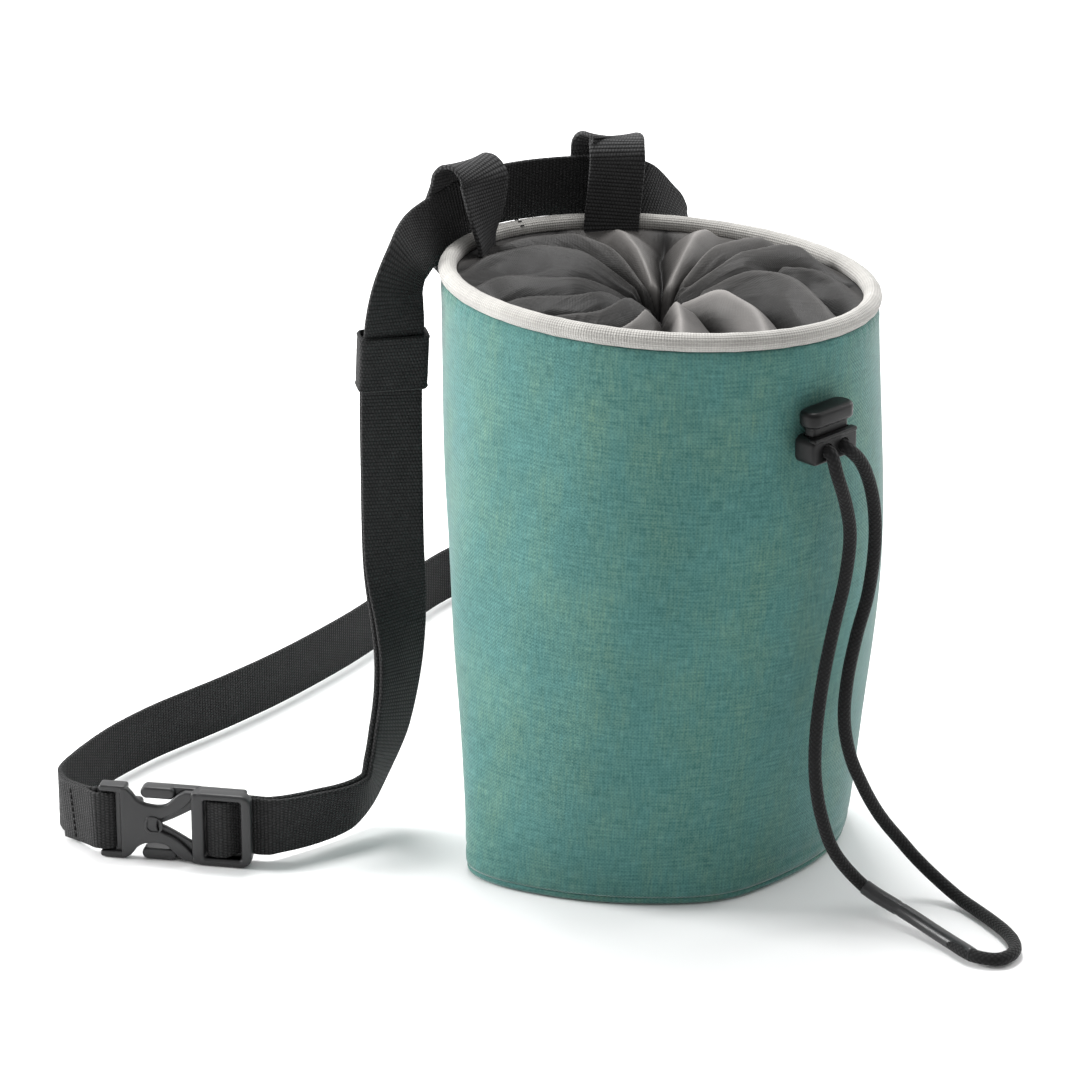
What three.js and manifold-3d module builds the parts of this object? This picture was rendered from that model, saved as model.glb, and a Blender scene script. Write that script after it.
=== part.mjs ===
// A climbing chalk bag that stands on its base, with its waist belt and drawcord laid out.
// Millimetres, +Z up. The origin is on the floor under the middle of the rim.
// -Y is the front with the cord lock, and +Y is the wearer's side with the belt loops.
import * as THREE from 'three';
import { mergeVertices } from 'three/addons/utils/BufferGeometryUtils.js';
import Module from 'manifold-3d';

const wasm = await Module();
wasm.setup();

// Bag: the rim's sizes are those of the piping's centre line
const RIM_HEIGHT = 165;
const RIM_WIDTH = 105.6;
const RIM_DEPTH = 123;
const RIM_DROP_RIGHT = 2.4;
const RIM_DROP_BACK = 1.1;
const BASE_WIDTH = 114;
const BASE_FRONT = 47;
const BASE_BACK = 28;
const BASE_MIDDLE = 9;
const BASE_THICKNESS = 2;
const FRONT_FULLNESS = 2.15;
const BACK_FULLNESS = 3.4;
const WALL = 2;
const WALL_TUCK = 0.7;
const PIPING = 5;
const GAP = 0.3;

// Closure sleeve
const SLEEVE = 1;
const GATHER_HOLE = 9;

// Belt and its loops
const BELT_WIDTH = 17;
const BELT_THICKNESS = 1.4;
const BELT_OUT = 1.8;
const BELT_SEAT = 1;
const BELT_LIFT = 0.5;
const LOOP_WIDTH = 15.6;
const LOOP_THICKNESS = 1.4;
const LOOP_RISE = 24.5;
const LOOP_DEPTH = 10.6;
const LOOP_SEWN = 18;
const KEEPER_LEVEL = 0.838;
const KEEPER_LENGTH = 16.5;
const KEEPER_WALL = 0.7;
const TAIL_OVER_KEEPER = 9.5;
const TAIL_SHIFT = 0.4;
const SEWN_FLAP = 14;
const SEWN_HEADING = 84.5;

// Buckle, lying on its long edge
const BUCKLE_LENGTH = 43.5;
const BUCKLE_HEIGHT = 22;
const BUCKLE_THICKNESS = 6;
const BUCKLE_HEADING = -55;
const BUCKLE_BAR = 2;
const BUCKLE_BAR_THICKNESS = 1.8;
const BUCKLE_RAIL = 2.1;

// Cord lock and drawcord
const LOCK_WIDTH = 17.5;
const LOCK_DEPTH = 7;
const LOCK_HEIGHT = 7.6;
const LOCK_LEVEL = 133.5;
const LOCK_ACROSS = -6.2;
const HOLE_LEVEL = 0.46;
const BUTTON_HEIGHT = 4.6;
const BUTTON_TRAVEL = 2.1;
const CORD_DIAMETER = 3.6;
const CORD_SPACING = 6.4;
const JOINER_DIAMETER = 4.2;

// Facets
const AROUND = 56;
const CORD_SIDES = 8;
const CORD_STEP = 2.5;

const radians = THREE.MathUtils.degToRad;
const mix = THREE.MathUtils.lerp;
const vector = (x, y, z) => new THREE.Vector3(x, y, z);

// Wall sections from the base up: rise is a share of the rim's height, and rim says how far the
// outline has gone from the base's D to the rim's ellipse
const WALL_SECTIONS = [
  { rise: 0.0, rim: 0.0 },
  { rise: 0.04, rim: 0.07 },
  { rise: 0.12, rim: 0.17 },
  { rise: 0.25, rim: 0.34 },
  { rise: 0.4, rim: 0.54 },
  { rise: 0.55, rim: 0.72 },
  { rise: 0.7, rim: 0.87 },
  { rise: 0.85, rim: 0.97 },
  { rise: 1.0, rim: 1.0 },
];

// Soft swells and dents of the wall: around and spread in degrees, rise and tall as shares of the
// rim's height, reach as a share of its width
const WALL_DENTS = [
  { around: -48, spread: 42, rise: 0.6, tall: 0.35, reach: 0.118 },
  { around: -44, spread: 34, rise: 0.08, tall: 0.2, reach: 0.025 },
  { around: -142, spread: 32, rise: 0, tall: 0.25, reach: -0.042 },
  { around: 150, spread: 40, rise: 0.35, tall: 0.4, reach: -0.014 },
];

// Sleeve from the rim (along 0) to the gather (along 1): level is its height over the rim's
// centre line as a share of the rim's width
const SLEEVE_PROFILE = [
  { along: 0.0, level: -0.02 },
  { along: 0.06, level: -0.012 },
  { along: 0.2, level: 0.008 },
  { along: 0.4, level: 0.002 },
  { along: 0.65, level: -0.035 },
  { along: 0.85, level: -0.072 },
  { along: 0.95, level: -0.098 },
  { along: 1.0, level: -0.135 },
];

// Gathered folds: each runs from around at the rim and swings by swirl degrees before the gather.
// spread is its half width in degrees, lift its height as a share of the rim's width
const SLEEVE_FOLDS = [
  { around: 152, swirl: 8, spread: 9, lift: 0.03 },
  { around: 136, swirl: 12, spread: 8, lift: 0.036 },
  { around: 119, swirl: 10, spread: 9, lift: 0.034 },
  { around: 98, swirl: 4, spread: 11, lift: 0.022 },
  { around: 74, swirl: -6, spread: 8, lift: 0.03 },
  { around: 45, swirl: -14, spread: 11, lift: 0.028 },
  { around: 18, swirl: -18, spread: 10, lift: 0.036 },
  { around: -12, swirl: -22, spread: 12, lift: 0.03 },
  { around: -42, swirl: -20, spread: 10, lift: 0.036 },
  { around: -72, swirl: -10, spread: 10, lift: 0.03 },
  { around: -100, swirl: 6, spread: 11, lift: 0.034 },
  { around: -130, swirl: 12, spread: 10, lift: 0.028 },
  { around: -158, swirl: 14, spread: 10, lift: 0.034 },
  { around: 176, swirl: 10, spread: 9, lift: 0.028 },
];

// Belt loops: around is the place on the rim. twist turns the crown about the upright and outer turns
// the outer leg, in degrees. lower and room are shares of the loop's rise
const BELT_LOOPS = [
  { name: 'belt_loop_left', around: 105, twist: -26, outer: -15, lower: 0.03, room: 0.065 },
  { name: 'belt_loop_right', around: 53, twist: 0, outer: 0, lower: 0, room: 0.04 },
];

// The belt's run along the rim: clear is a share of its usual distance from the piping
const RIM_RUN = [
  { around: 51, clear: 1 },
  { around: 59, clear: 1 },
  { around: 68, clear: 1 },
  { around: 79, clear: 1 },
  { around: 90, clear: 0.78 },
  { around: 98, clear: 0.42 },
];

// Belt routes: side and back are shares of the rim's half width and half depth, lift is the lower
// edge's height as a share of the rim's height, and edgeX to edgeZ point from its upper to its
// lower edge
const BELT_RISE = [
  { side: -2.182, back: 1.989, lift: 0.003, edgeX: 0.00, edgeY: 0.00, edgeZ: -1.00 },
  { side: -2.013, back: 2.068, lift: 0.003, edgeX: 0.00, edgeY: 0.00, edgeZ: -1.00 },
  { side: -1.839, back: 2.125, lift: 0.003, edgeX: 0.00, edgeY: 0.00, edgeZ: -1.00 },
  { side: -1.629, back: 2.179, lift: 0.003, edgeX: 0.00, edgeY: 0.00, edgeZ: -1.00 },
  { side: -1.269, back: 2.228, lift: 0.003, edgeX: 0.00, edgeY: 0.00, edgeZ: -1.00 },
  { side: -0.833, back: 2.244, lift: 0.003, edgeX: 0.00, edgeY: 0.00, edgeZ: -1.00 },
  { side: -0.422, back: 2.273, lift: 0.003, edgeX: 0.00, edgeY: 0.00, edgeZ: -1.00 },
  { side: -0.076, back: 2.317, lift: 0.003, edgeX: 0.00, edgeY: 0.00, edgeZ: -1.00 },
  { side: 0.347, back: 2.390, lift: 0.003, edgeX: 0.00, edgeY: 0.00, edgeZ: -1.00 },
  { side: 0.652, back: 2.460, lift: 0.003, edgeX: 0.00, edgeY: 0.00, edgeZ: -1.00 },
  { side: 0.985, back: 2.546, lift: 0.003, edgeX: 0.00, edgeY: 0.00, edgeZ: -1.00 },
  { side: 1.250, back: 2.618, lift: 0.003, edgeX: 0.00, edgeY: 0.00, edgeZ: -1.00 },
  { side: 1.477, back: 2.659, lift: 0.003, edgeX: 0.00, edgeY: 0.00, edgeZ: -1.00 },
  { side: 1.705, back: 2.660, lift: 0.003, edgeX: 0.00, edgeY: 0.00, edgeZ: -1.00 },
  { side: 1.913, back: 2.593, lift: 0.003, edgeX: 0.00, edgeY: 0.00, edgeZ: -1.00 },
  { side: 2.074, back: 2.447, lift: 0.003, edgeX: 0.00, edgeY: 0.00, edgeZ: -1.00 },
  { side: 2.140, back: 2.252, lift: 0.003, edgeX: 0.00, edgeY: 0.00, edgeZ: -1.00 },
  { side: 2.112, back: 2.057, lift: 0.003, edgeX: 0.00, edgeY: 0.00, edgeZ: -1.00 },
  { side: 1.998, back: 1.878, lift: 0.009, edgeX: -0.08, edgeY: -0.10, edgeZ: -0.99 },
  { side: 1.852, back: 1.642, lift: 0.050, edgeX: -0.30, edgeY: -0.25, edgeZ: -0.92 },
  { side: 1.667, back: 1.374, lift: 0.158, edgeX: -0.55, edgeY: -0.45, edgeZ: -0.70 },
  { side: 1.515, back: 1.132, lift: 0.310, edgeX: -0.68, edgeY: -0.58, edgeZ: -0.45 },
  { side: 1.388, back: 0.953, lift: 0.474, edgeX: -0.73, edgeY: -0.65, edgeZ: -0.22 },
  { side: 1.277, back: 0.826, lift: 0.630, edgeX: -0.74, edgeY: -0.66, edgeZ: -0.12 },
  { side: 1.174, back: 0.738, lift: 0.778, edgeX: -0.72, edgeY: -0.66, edgeZ: -0.20 },
  { side: 1.091, back: 0.693, lift: 0.882, edgeX: -0.70, edgeY: -0.65, edgeZ: -0.30 },
  { side: 1.015, back: 0.683, lift: 0.930, edgeX: -0.65, edgeY: -0.60, edgeZ: -0.46 },
  { side: 0.947, back: 0.730, lift: 0.950, edgeX: -0.50, edgeY: -0.45, edgeZ: -0.74 },
  { side: 0.803, back: 0.771, lift: 0.976, edgeX: -0.14, edgeY: -0.14, edgeZ: -0.98 },
];

const BELT_DROP = [
  { side: -0.383, back: 1.030, lift: 0.991, edgeX: 0.41, edgeY: -0.14, edgeZ: -0.90 },
  { side: -0.580, back: 0.984, lift: 0.985, edgeX: 0.49, edgeY: -0.18, edgeZ: -0.85 },
  { side: -0.766, back: 0.907, lift: 0.977, edgeX: 0.74, edgeY: -0.05, edgeZ: -0.67 },
  { side: -0.858, back: 0.893, lift: 0.941, edgeX: 0.85, edgeY: -0.14, edgeZ: -0.51 },
  { side: -0.872, back: 0.903, lift: 0.894, edgeX: 0.87, edgeY: -0.36, edgeZ: -0.33 },
  { side: -0.848, back: 0.935, lift: 0.846, edgeX: 0.86, edgeY: -0.48, edgeZ: -0.16 },
  { side: -0.842, back: 0.950, lift: 0.799, edgeX: 0.83, edgeY: -0.55, edgeZ: -0.07 },
  { side: -0.837, back: 0.960, lift: 0.763, edgeX: 0.80, edgeY: -0.59, edgeZ: -0.06 },
  { side: -0.831, back: 0.966, lift: 0.620, edgeX: 0.77, edgeY: -0.64, edgeZ: -0.04 },
  { side: -0.820, back: 0.968, lift: 0.471, edgeX: 0.82, edgeY: -0.56, edgeZ: -0.08 },
  { side: -0.802, back: 0.953, lift: 0.371, edgeX: 0.95, edgeY: -0.20, edgeZ: -0.22 },
  { side: -0.804, back: 0.943, lift: 0.295, edgeX: 0.96, edgeY: 0.01, edgeZ: -0.29 },
  { side: -0.837, back: 0.937, lift: 0.222, edgeX: 0.93, edgeY: 0.14, edgeZ: -0.33 },
  { side: -0.902, back: 0.931, lift: 0.153, edgeX: 0.90, edgeY: 0.23, edgeZ: -0.36 },
  { side: -0.990, back: 0.928, lift: 0.092, edgeX: 0.81, edgeY: 0.40, edgeZ: -0.43 },
  { side: -1.076, back: 0.917, lift: 0.043, edgeX: 0.55, edgeY: 0.44, edgeZ: -0.71 },
  { side: -1.217, back: 0.907, lift: 0.018, edgeX: 0.34, edgeY: 0.28, edgeZ: -0.90 },
  { side: -1.435, back: 0.933, lift: 0.009, edgeX: 0.23, edgeY: 0.13, edgeZ: -0.96 },
  { side: -1.637, back: 0.968, lift: 0.008, edgeX: 0.06, edgeY: 0.09, edgeZ: -0.99 },
];

// Drawcord routes, from the lock down to the floor
const CORD_LEFT = [
  [-8.4, -73.2, 130.6], [-4.6, -73.2, 121.1], [-2, -72.6, 111.7],
  [-1.8, -71, 98.3], [-4, -69.6, 85.6], [-6.8, -68.6, 70.4], [-9.1, -68.5, 54.7],
  [-9.9, -69.4, 42.2], [-8.4, -70.8, 30.4], [-4.6, -72.4, 19.4],
];
const CORD_JOINER = [[3.3, -76.4, 8], [4.2, -80, 6.4], [5.2, -90.5, 4], [3.8, -104, 2.5], [1.4, -117, 2.2]];
const CORD_RIGHT = [
  [0.6, -73, 132.4], [4.3, -73.2, 125.6], [7.1, -73, 116.3],
  [8.5, -72.2, 105.4], [8, -70.8, 91.5], [5, -69.6, 79.4], [2.9, -68.6, 66.6],
  [2.3, -68.5, 55.5], [4.5, -69, 44.6], [8.6, -70.2, 34.6], [12.6, -71.3, 27],
  [15.7, -72.5, 21.9], [19.4, -75, 16.1], [21.6, -78.3, 11.6], [23.6, -83.5, 7],
  [24.6, -92.5, 2.6], [23.3, -99.5, 2], [21, -107.4, 2], [18.6, -114, 2],
  [15.6, -119.2, 2], [12, -122.6, 2], [8, -123.7, 2], [4.4, -122.6, 2],
];

/** Values of a table's columns at one place, on a smooth curve through its rows. */
function sampleTable(rows, key, at) {
  let next = rows.findIndex((row) => row[key] >= at);
  if (next < 0) next = rows.length - 1;
  if (next === 0) next = 1;
  const ends = [rows[Math.max(next - 2, 0)], rows[next - 1], rows[next]];
  ends.push(rows[Math.min(next + 1, rows.length - 1)]);
  const share = (at - ends[1][key]) / (ends[2][key] - ends[1][key]);
  const result = {};
  for (const column of Object.keys(rows[0])) {
    const slope = (a, b) => (b[key] === a[key] ? 0 : (b[column] - a[column]) / (b[key] - a[key]));
    const span = ends[2][key] - ends[1][key];
    const start = slope(ends[0], ends[2]) * span;
    const end = slope(ends[1], ends[3]) * span;
    const a = ends[1][column];
    const b = ends[2][column];
    const s2 = share * share;
    const s3 = s2 * share;
    result[column] = a * (2 * s3 - 3 * s2 + 1) + start * (s3 - 2 * s2 + share)
      + b * (3 * s2 - 2 * s3) + end * (s3 - s2);
  }
  return result;
}

/** Smallest turn from one angle to another, in degrees. */
function turnBetween(from, to) {
  return ((to - from + 540) % 360 + 360) % 360 - 180;
}

/** A bell-shaped weight: 1 in the middle and 0.37 at one spread from it. */
function bell(offset, spread) {
  return Math.exp(-((offset / spread) ** 2));
}

/** Geometry from points and triangles, with its faces turned outward. */
function closedGeometry(points, triangles) {
  let volume = 0;
  for (const [a, b, c] of triangles) {
    volume += points[a].dot(points[b].clone().cross(points[c]));
  }
  const index = triangles.flatMap(([a, b, c]) => (volume < 0 ? [a, c, b] : [a, b, c]));
  const geometry = new THREE.BufferGeometry();
  geometry.setFromPoints(points);
  geometry.setIndex(index);
  geometry.computeVertexNormals();
  return geometry;
}

/** Triangles between neighbouring rings of equal length. */
function bandTriangles(rings, wrapped) {
  const count = rings[0].length;
  const triangles = [];
  const last = wrapped ? rings.length : rings.length - 1;
  for (let row = 0; row < last; row += 1) {
    const above = (row + 1) % rings.length;
    for (let i = 0; i < count; i += 1) {
      const next = (i + 1) % count;
      const [a, b] = [row * count + i, row * count + next];
      const [c, d] = [above * count + i, above * count + next];
      triangles.push([a, b, d], [a, d, c]);
    }
  }
  return triangles;
}

/** A ring-shaped body: the last ring joins the first one again. */
function ringBody(rings) {
  return closedGeometry(rings.flat(), bandTriangles(rings, true));
}

/** A body lofted through rings, with a flat cap on each end. */
function loftBody(rings) {
  const count = rings[0].length;
  const triangles = bandTriangles(rings, false);
  const top = (rings.length - 1) * count;
  for (let i = 1; i < count - 1; i += 1) {
    triangles.push([0, i + 1, i], [top, top + i, top + i + 1]);
  }
  return closedGeometry(rings.flat(), triangles);
}

/** Point and outward direction on the piping's centre line, moved out by an offset. */
function rimPoint(around, offset = 0) {
  const angle = radians(around);
  const [a, b] = [RIM_WIDTH / 2, RIM_DEPTH / 2];
  const out = vector(Math.cos(angle) / a, Math.sin(angle) / b, 0).normalize();
  const level = RIM_HEIGHT - RIM_DROP_RIGHT * Math.cos(angle) - RIM_DROP_BACK * Math.sin(angle);
  const at = vector(a * Math.cos(angle), b * Math.sin(angle), level).addScaledVector(out, offset);
  return { at, out };
}

/** Point on the wall's outer face in one direction from its middle, moved inward by an inset. */
function wallPoint(around, height, inset = 0) {
  const rise = height / RIM_HEIGHT;
  const { rim } = sampleTable(WALL_SECTIONS, 'rise', rise);
  const angle = radians(around);
  const back = Math.sin(angle) > 0;
  const tuck = PIPING / 2 - WALL_TUCK;
  const baseDepth = back ? BASE_BACK - BASE_MIDDLE : BASE_FRONT + BASE_MIDDLE;
  const halfWidth = mix(BASE_WIDTH / 2, RIM_WIDTH / 2 + tuck, rim);
  const depth = mix(baseDepth, RIM_DEPTH / 2 + tuck, rim);
  const fullness = mix(back ? BACK_FULLNESS : FRONT_FULLNESS, 2, rim);
  const across = Math.abs(Math.cos(angle) / halfWidth) ** fullness;
  const along = Math.abs(Math.sin(angle) / depth) ** fullness;
  let reach = (across + along) ** (-1 / fullness) - inset;
  for (const dent of WALL_DENTS) {
    const sideways = bell(turnBetween(dent.around, around), dent.spread);
    reach += dent.reach * RIM_WIDTH * sideways * bell(rise - dent.rise, dent.tall) * (1 - rise);
  }
  return vector(reach * Math.cos(angle), mix(BASE_MIDDLE, 0, rim) + reach * Math.sin(angle), height);
}

/** Evenly spaced directions round the bag, in degrees. */
function directions(count) {
  return Array.from({ length: count }, (_, i) => (i * 360) / count);
}

function makeSideWall() {
  const bottom = BASE_THICKNESS + GAP;
  const levels = [0, 0.03, 0.1, 0.2, 0.32, 0.44, 0.56, 0.68, 0.8, 0.9, 1];
  const ring = (share, inset) => directions(AROUND).map((around) => {
    const top = rimPoint(around).at.z - PIPING / 2 - GAP;
    return wallPoint(around, mix(bottom, top, share), inset);
  });
  const outside = levels.map((share) => ring(share, 0));
  const inside = levels.map((share) => ring(share, WALL)).reverse();
  return ringBody([...outside, ...inside]);
}

function makeBasePanel() {
  const ring = (height, inset) => directions(AROUND).map((around) => {
    const point = wallPoint(around, BASE_THICKNESS, inset);
    return point.setZ(height);
  });
  const round = BASE_THICKNESS / 2;
  return loftBody([ring(0, round), ring(round / 3, round / 3), ring(round, 0), ring(BASE_THICKNESS, 0)]);
}

function makePiping() {
  const rings = directions(10).map((turn) => directions(AROUND).map((around) => {
    const angle = radians(turn);
    const point = rimPoint(around, (PIPING / 2) * Math.cos(angle)).at;
    return point.setZ(point.z + (PIPING / 2) * Math.sin(angle));
  }));
  return ringBody(rings);
}

/** Point on the sleeve's upper face. */
function sleevePoint(around, along) {
  const edge = rimPoint(around, -PIPING / 2 - GAP).at;
  const angle = radians(around);
  const hole = GATHER_HOLE / 2;
  const { level } = sampleTable(SLEEVE_PROFILE, 'along', along);
  let lift = level;
  for (const fold of SLEEVE_FOLDS) {
    const middle = fold.around + fold.swirl * along;
    const ridge = bell(turnBetween(middle, around), fold.spread);
    lift += fold.lift * ridge * Math.sin(Math.PI * Math.min(along * 1.02, 1)) ** 1.2;
  }
  return vector(
    mix(edge.x, hole * Math.cos(angle), along),
    mix(edge.y, hole * Math.sin(angle), along),
    mix(edge.z, RIM_HEIGHT, along) + lift * RIM_WIDTH,
  );
}

function makeSleeve() {
  const places = [0, 0.08, 0.22, 0.38, 0.54, 0.7, 0.83, 0.93, 1];
  const ring = (along, drop) => directions(78).map((around) => {
    const point = sleevePoint(around, along);
    return point.setZ(point.z - drop);
  });
  const upper = places.map((along) => ring(along, 0));
  const lower = places.map((along) => ring(along, SLEEVE)).reverse();
  return ringBody([...upper, ...lower]);
}

/** Direction of travel at one station of a ribbon. */
function travelAt(stations, i) {
  const before = stations[Math.max(i - 1, 0)].at;
  const after = stations[Math.min(i + 1, stations.length - 1)].at;
  return after.clone().sub(before).normalize();
}

/** Adds each station's face direction, and squares its edge direction to the travel. */
function withFaces(stations) {
  return stations.map(({ at, edge }, i) => {
    const travel = travelAt(stations, i);
    const across = edge.clone().addScaledVector(travel, -edge.dot(travel)).normalize();
    return { at, edge: across, face: across.clone().cross(travel) };
  });
}

/** Flat webbing swept through stations. */
function ribbonBody(stations, width, thickness) {
  const rings = withFaces(stations).map(({ at, edge, face }) => {
    const corners = [[-1, -1], [1, -1], [1, 1], [-1, 1]];
    return corners.map(([side, front]) => at.clone()
      .addScaledVector(edge, (side * width) / 2)
      .addScaledVector(face, (front * thickness) / 2));
  });
  return loftBody(rings);
}

/** A smooth run of stations through few ones, with some steps between each two. */
function smoothStations(stations, steps) {
  const route = new THREE.CatmullRomCurve3(stations.map(({ at }) => at), false, 'centripetal');
  const edges = new THREE.CatmullRomCurve3(stations.map(({ edge }) => edge), false, 'centripetal');
  const spans = stations.length - 1;
  return Array.from({ length: spans * steps + 1 }, (_, i) => {
    const share = i / (spans * steps);
    return { at: route.getPoint(share), edge: edges.getPoint(share).normalize() };
  });
}

/** Belt loop: inside the rim, over the belt and down the wall's outside. */
function makeBeltLoop({ around, twist, outer, lower, room }) {
  const { at, out } = rimPoint(around);
  const along = vector(-out.y, out.x, 0);
  const seat = GAP + LOOP_THICKNESS / 2;
  const inner = -PIPING / 2 - seat - 0.6;
  const radius = LOOP_DEPTH / 2;
  const middle = inner + radius + 0.6;
  const crown = LOOP_RISE * (1 - lower) - LOOP_THICKNESS / 2 - radius;
  const arch = [180, 150, 120, 90, 60, 30, 0].map((turn) => ({
    offset: middle + radius * Math.cos(radians(turn)),
    level: crown + radius * Math.sin(radians(turn)),
  }));
  const belt = PIPING / 2 + BELT_OUT + BELT_THICKNESS + seat + room * LOOP_RISE;
  const profile = [
    { offset: inner, level: 1 },
    { offset: inner, level: crown / 2 },
    ...arch,
    { offset: belt + 0.8, level: crown * 0.4 },
    { offset: belt, level: -PIPING / 3 },
  ];
  const stations = profile.map(({ offset, level }) => {
    const raised = twist * THREE.MathUtils.smoothstep(level, 0, crown);
    const turned = radians(mix(raised, outer, THREE.MathUtils.smoothstep(offset, middle, middle + radius)));
    return {
      at: at.clone().addScaledVector(out, offset).setZ(at.z + level),
      edge: along.clone().applyAxisAngle(vector(0, 0, 1), turned),
    };
  });
  const toward = THREE.MathUtils.radToDeg(Math.atan2(at.y, at.x));
  for (const share of [0.4, 0.7, 1]) {
    const height = at.z - PIPING / 2 - share * LOOP_SEWN;
    const seatPoint = wallPoint(toward, height).addScaledVector(out, seat + GAP);
    stations.push({ at: seatPoint, edge: along });
  }
  return ribbonBody(smoothStations(stations, 2), LOOP_WIDTH, LOOP_THICKNESS);
}

// Buckle frame: u runs along it from the male end, front points to its face
const buckleAlong = vector(Math.cos(radians(BUCKLE_HEADING)), Math.sin(radians(BUCKLE_HEADING)), 0);
const buckleFront = vector(buckleAlong.y, -buckleAlong.x, 0);
const buckleStart = vector((-2.263 * RIM_WIDTH) / 2, (1.618 * RIM_DEPTH) / 2, BUCKLE_HEIGHT / 2);
const webbingTurn = BUCKLE_BAR_THICKNESS / 2 + GAP + BELT_THICKNESS / 2;
const layers = BELT_THICKNESS + GAP;
const ladderBar = BUCKLE_LENGTH * 0.75;
const ladderEnd = ladderBar + BUCKLE_BAR * 1.5;
const endBar = BUCKLE_LENGTH * 0.935;
const endBarBack = -BUCKLE_THICKNESS / 6;
const mainBehind = endBarBack - GAP - BELT_THICKNESS / 2;

function buckleStation(along, front) {
  const at = buckleStart.clone()
    .addScaledVector(buckleAlong, along)
    .addScaledVector(buckleFront, front);
  return { at, edge: vector(0, 0, -1) };
}

/** Stations on a half turn about a bar, from its front to its back. */
function halfTurn(middle, direction) {
  return [90, 60, 30, 0, -30, -60, -90].map((turn) => buckleStation(
    middle + direction * webbingTurn * Math.cos(radians(turn)),
    webbingTurn * Math.sin(radians(turn)),
  ));
}

function tableStation({ side, back, lift, edgeX, edgeY, edgeZ }) {
  const edge = vector(edgeX, edgeY, edgeZ).normalize();
  const z = lift * RIM_HEIGHT + (Math.abs(edge.z) * BELT_WIDTH) / 2;
  return { at: vector((side * RIM_WIDTH) / 2, (back * RIM_DEPTH) / 2, z), edge };
}

/** Station on the doubled end beside the buckle: on its front layer (1) or its back layer (-1). */
function sewnStation(away, layer) {
  const heading = vector(Math.cos(radians(SEWN_HEADING)), Math.sin(radians(SEWN_HEADING)), 0);
  const { at, edge } = buckleStation(-BUCKLE_BAR, 0);
  at.addScaledVector(heading, away);
  at.addScaledVector(vector(-heading.y, heading.x, 0), (layer * layers) / 2);
  return { at: at.setZ(mix(at.z, BELT_WIDTH / 2 + BELT_LIFT, away / SEWN_FLAP)), edge };
}

function beltStations() {
  const sewnEnd = [
    sewnStation(SEWN_FLAP, 1),
    sewnStation(SEWN_FLAP / 2, 1),
    sewnStation(SEWN_FLAP / 5, 1),
    buckleStation(-BUCKLE_BAR / 2, webbingTurn),
    ...halfTurn(BUCKLE_BAR - GAP, 1),
    buckleStation(-BUCKLE_BAR / 2, -webbingTurn),
  ];
  const rimRun = RIM_RUN.map(({ around, clear }) => {
    const { at } = rimPoint(around, PIPING / 2 + clear * BELT_OUT + BELT_THICKNESS / 2);
    return { at: at.setZ(at.z + BELT_SEAT + BELT_WIDTH / 2), edge: vector(0, 0, -1) };
  });
  const round = smoothStations([
    sewnStation(SEWN_FLAP / 5, -1),
    sewnStation(SEWN_FLAP, -1),
    ...BELT_RISE.map(tableStation),
    ...rimRun,
    ...BELT_DROP.map(tableStation),
    buckleStation(BUCKLE_LENGTH + 2 * BUCKLE_BAR, mainBehind),
  ], 2);
  const ladder = [
    buckleStation(endBar, mainBehind),
    buckleStation(mix(ladderEnd, endBar, 0.55), mainBehind + GAP * 3),
    buckleStation(ladderEnd + 2 * GAP, webbingTurn - GAP / 2),
    ...halfTurn(ladderBar + GAP, -1),
    buckleStation(ladderEnd + GAP * 3, -webbingTurn - GAP),
    buckleStation(endBar + GAP * 2, mainBehind - layers),
  ];
  return { sewnEnd, round, ladder };
}

/** The tail lies behind the belt, from the ladder bar up to the keeper. */
function tailStations(round) {
  const faced = withFaces(round);
  const top = faced.findLastIndex(({ at }) => at.z > KEEPER_LEVEL * RIM_HEIGHT + TAIL_OVER_KEEPER);
  const beside = faced.slice(top + 1).reverse();
  return beside.map(({ at, edge, face }, i) => {
    const sideways = TAIL_SHIFT * Math.sin((Math.PI * i) / (beside.length - 1));
    return {
      at: at.clone().addScaledVector(face, layers).addScaledVector(edge, -sideways),
      edge,
    };
  });
}

function makeBelt() {
  const { sewnEnd, round, ladder } = beltStations();
  const tail = tailStations(round);
  return ribbonBody([...sewnEnd, ...round, ...ladder, ...tail], BELT_WIDTH, BELT_THICKNESS);
}

/** Elastic band round the belt and its tail. */
function makeKeeper() {
  const faced = withFaces(beltStations().round);
  const level = KEEPER_LEVEL * RIM_HEIGHT;
  const low = faced.findLastIndex(({ at }) => at.z > level);
  const [above, below] = [faced[low], faced[low + 1]];
  const share = (above.at.z - level) / (above.at.z - below.at.z);
  const middle = {
    at: above.at.clone().lerp(below.at, share),
    edge: above.edge.clone().lerp(below.edge, share).normalize(),
    face: above.face.clone().lerp(below.face, share).normalize(),
  };
  const travel = middle.face.clone().cross(middle.edge).normalize();
  const centre = middle.at.clone().addScaledVector(middle.face, layers / 2);
  const ring = (along, grow) => {
    const half = BELT_WIDTH / 2 + 2 * GAP + grow;
    const deep = layers / 2 + BELT_THICKNESS / 2 + 4 * GAP + grow;
    const bevel = 0.6;
    const corners = [
      [-half + bevel, -deep], [half - bevel, -deep], [half, -deep + bevel], [half, deep - bevel],
      [half - bevel, deep], [-half + bevel, deep], [-half, deep - bevel], [-half, -deep + bevel],
    ];
    return corners.map(([side, front]) => centre.clone()
      .addScaledVector(travel, along)
      .addScaledVector(middle.edge, side)
      .addScaledVector(middle.face, front));
  };
  const reach = KEEPER_LENGTH / 2;
  return ringBody([ring(-reach, KEEPER_WALL), ring(reach, KEEPER_WALL), ring(reach, 0), ring(-reach, 0)]);
}

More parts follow.
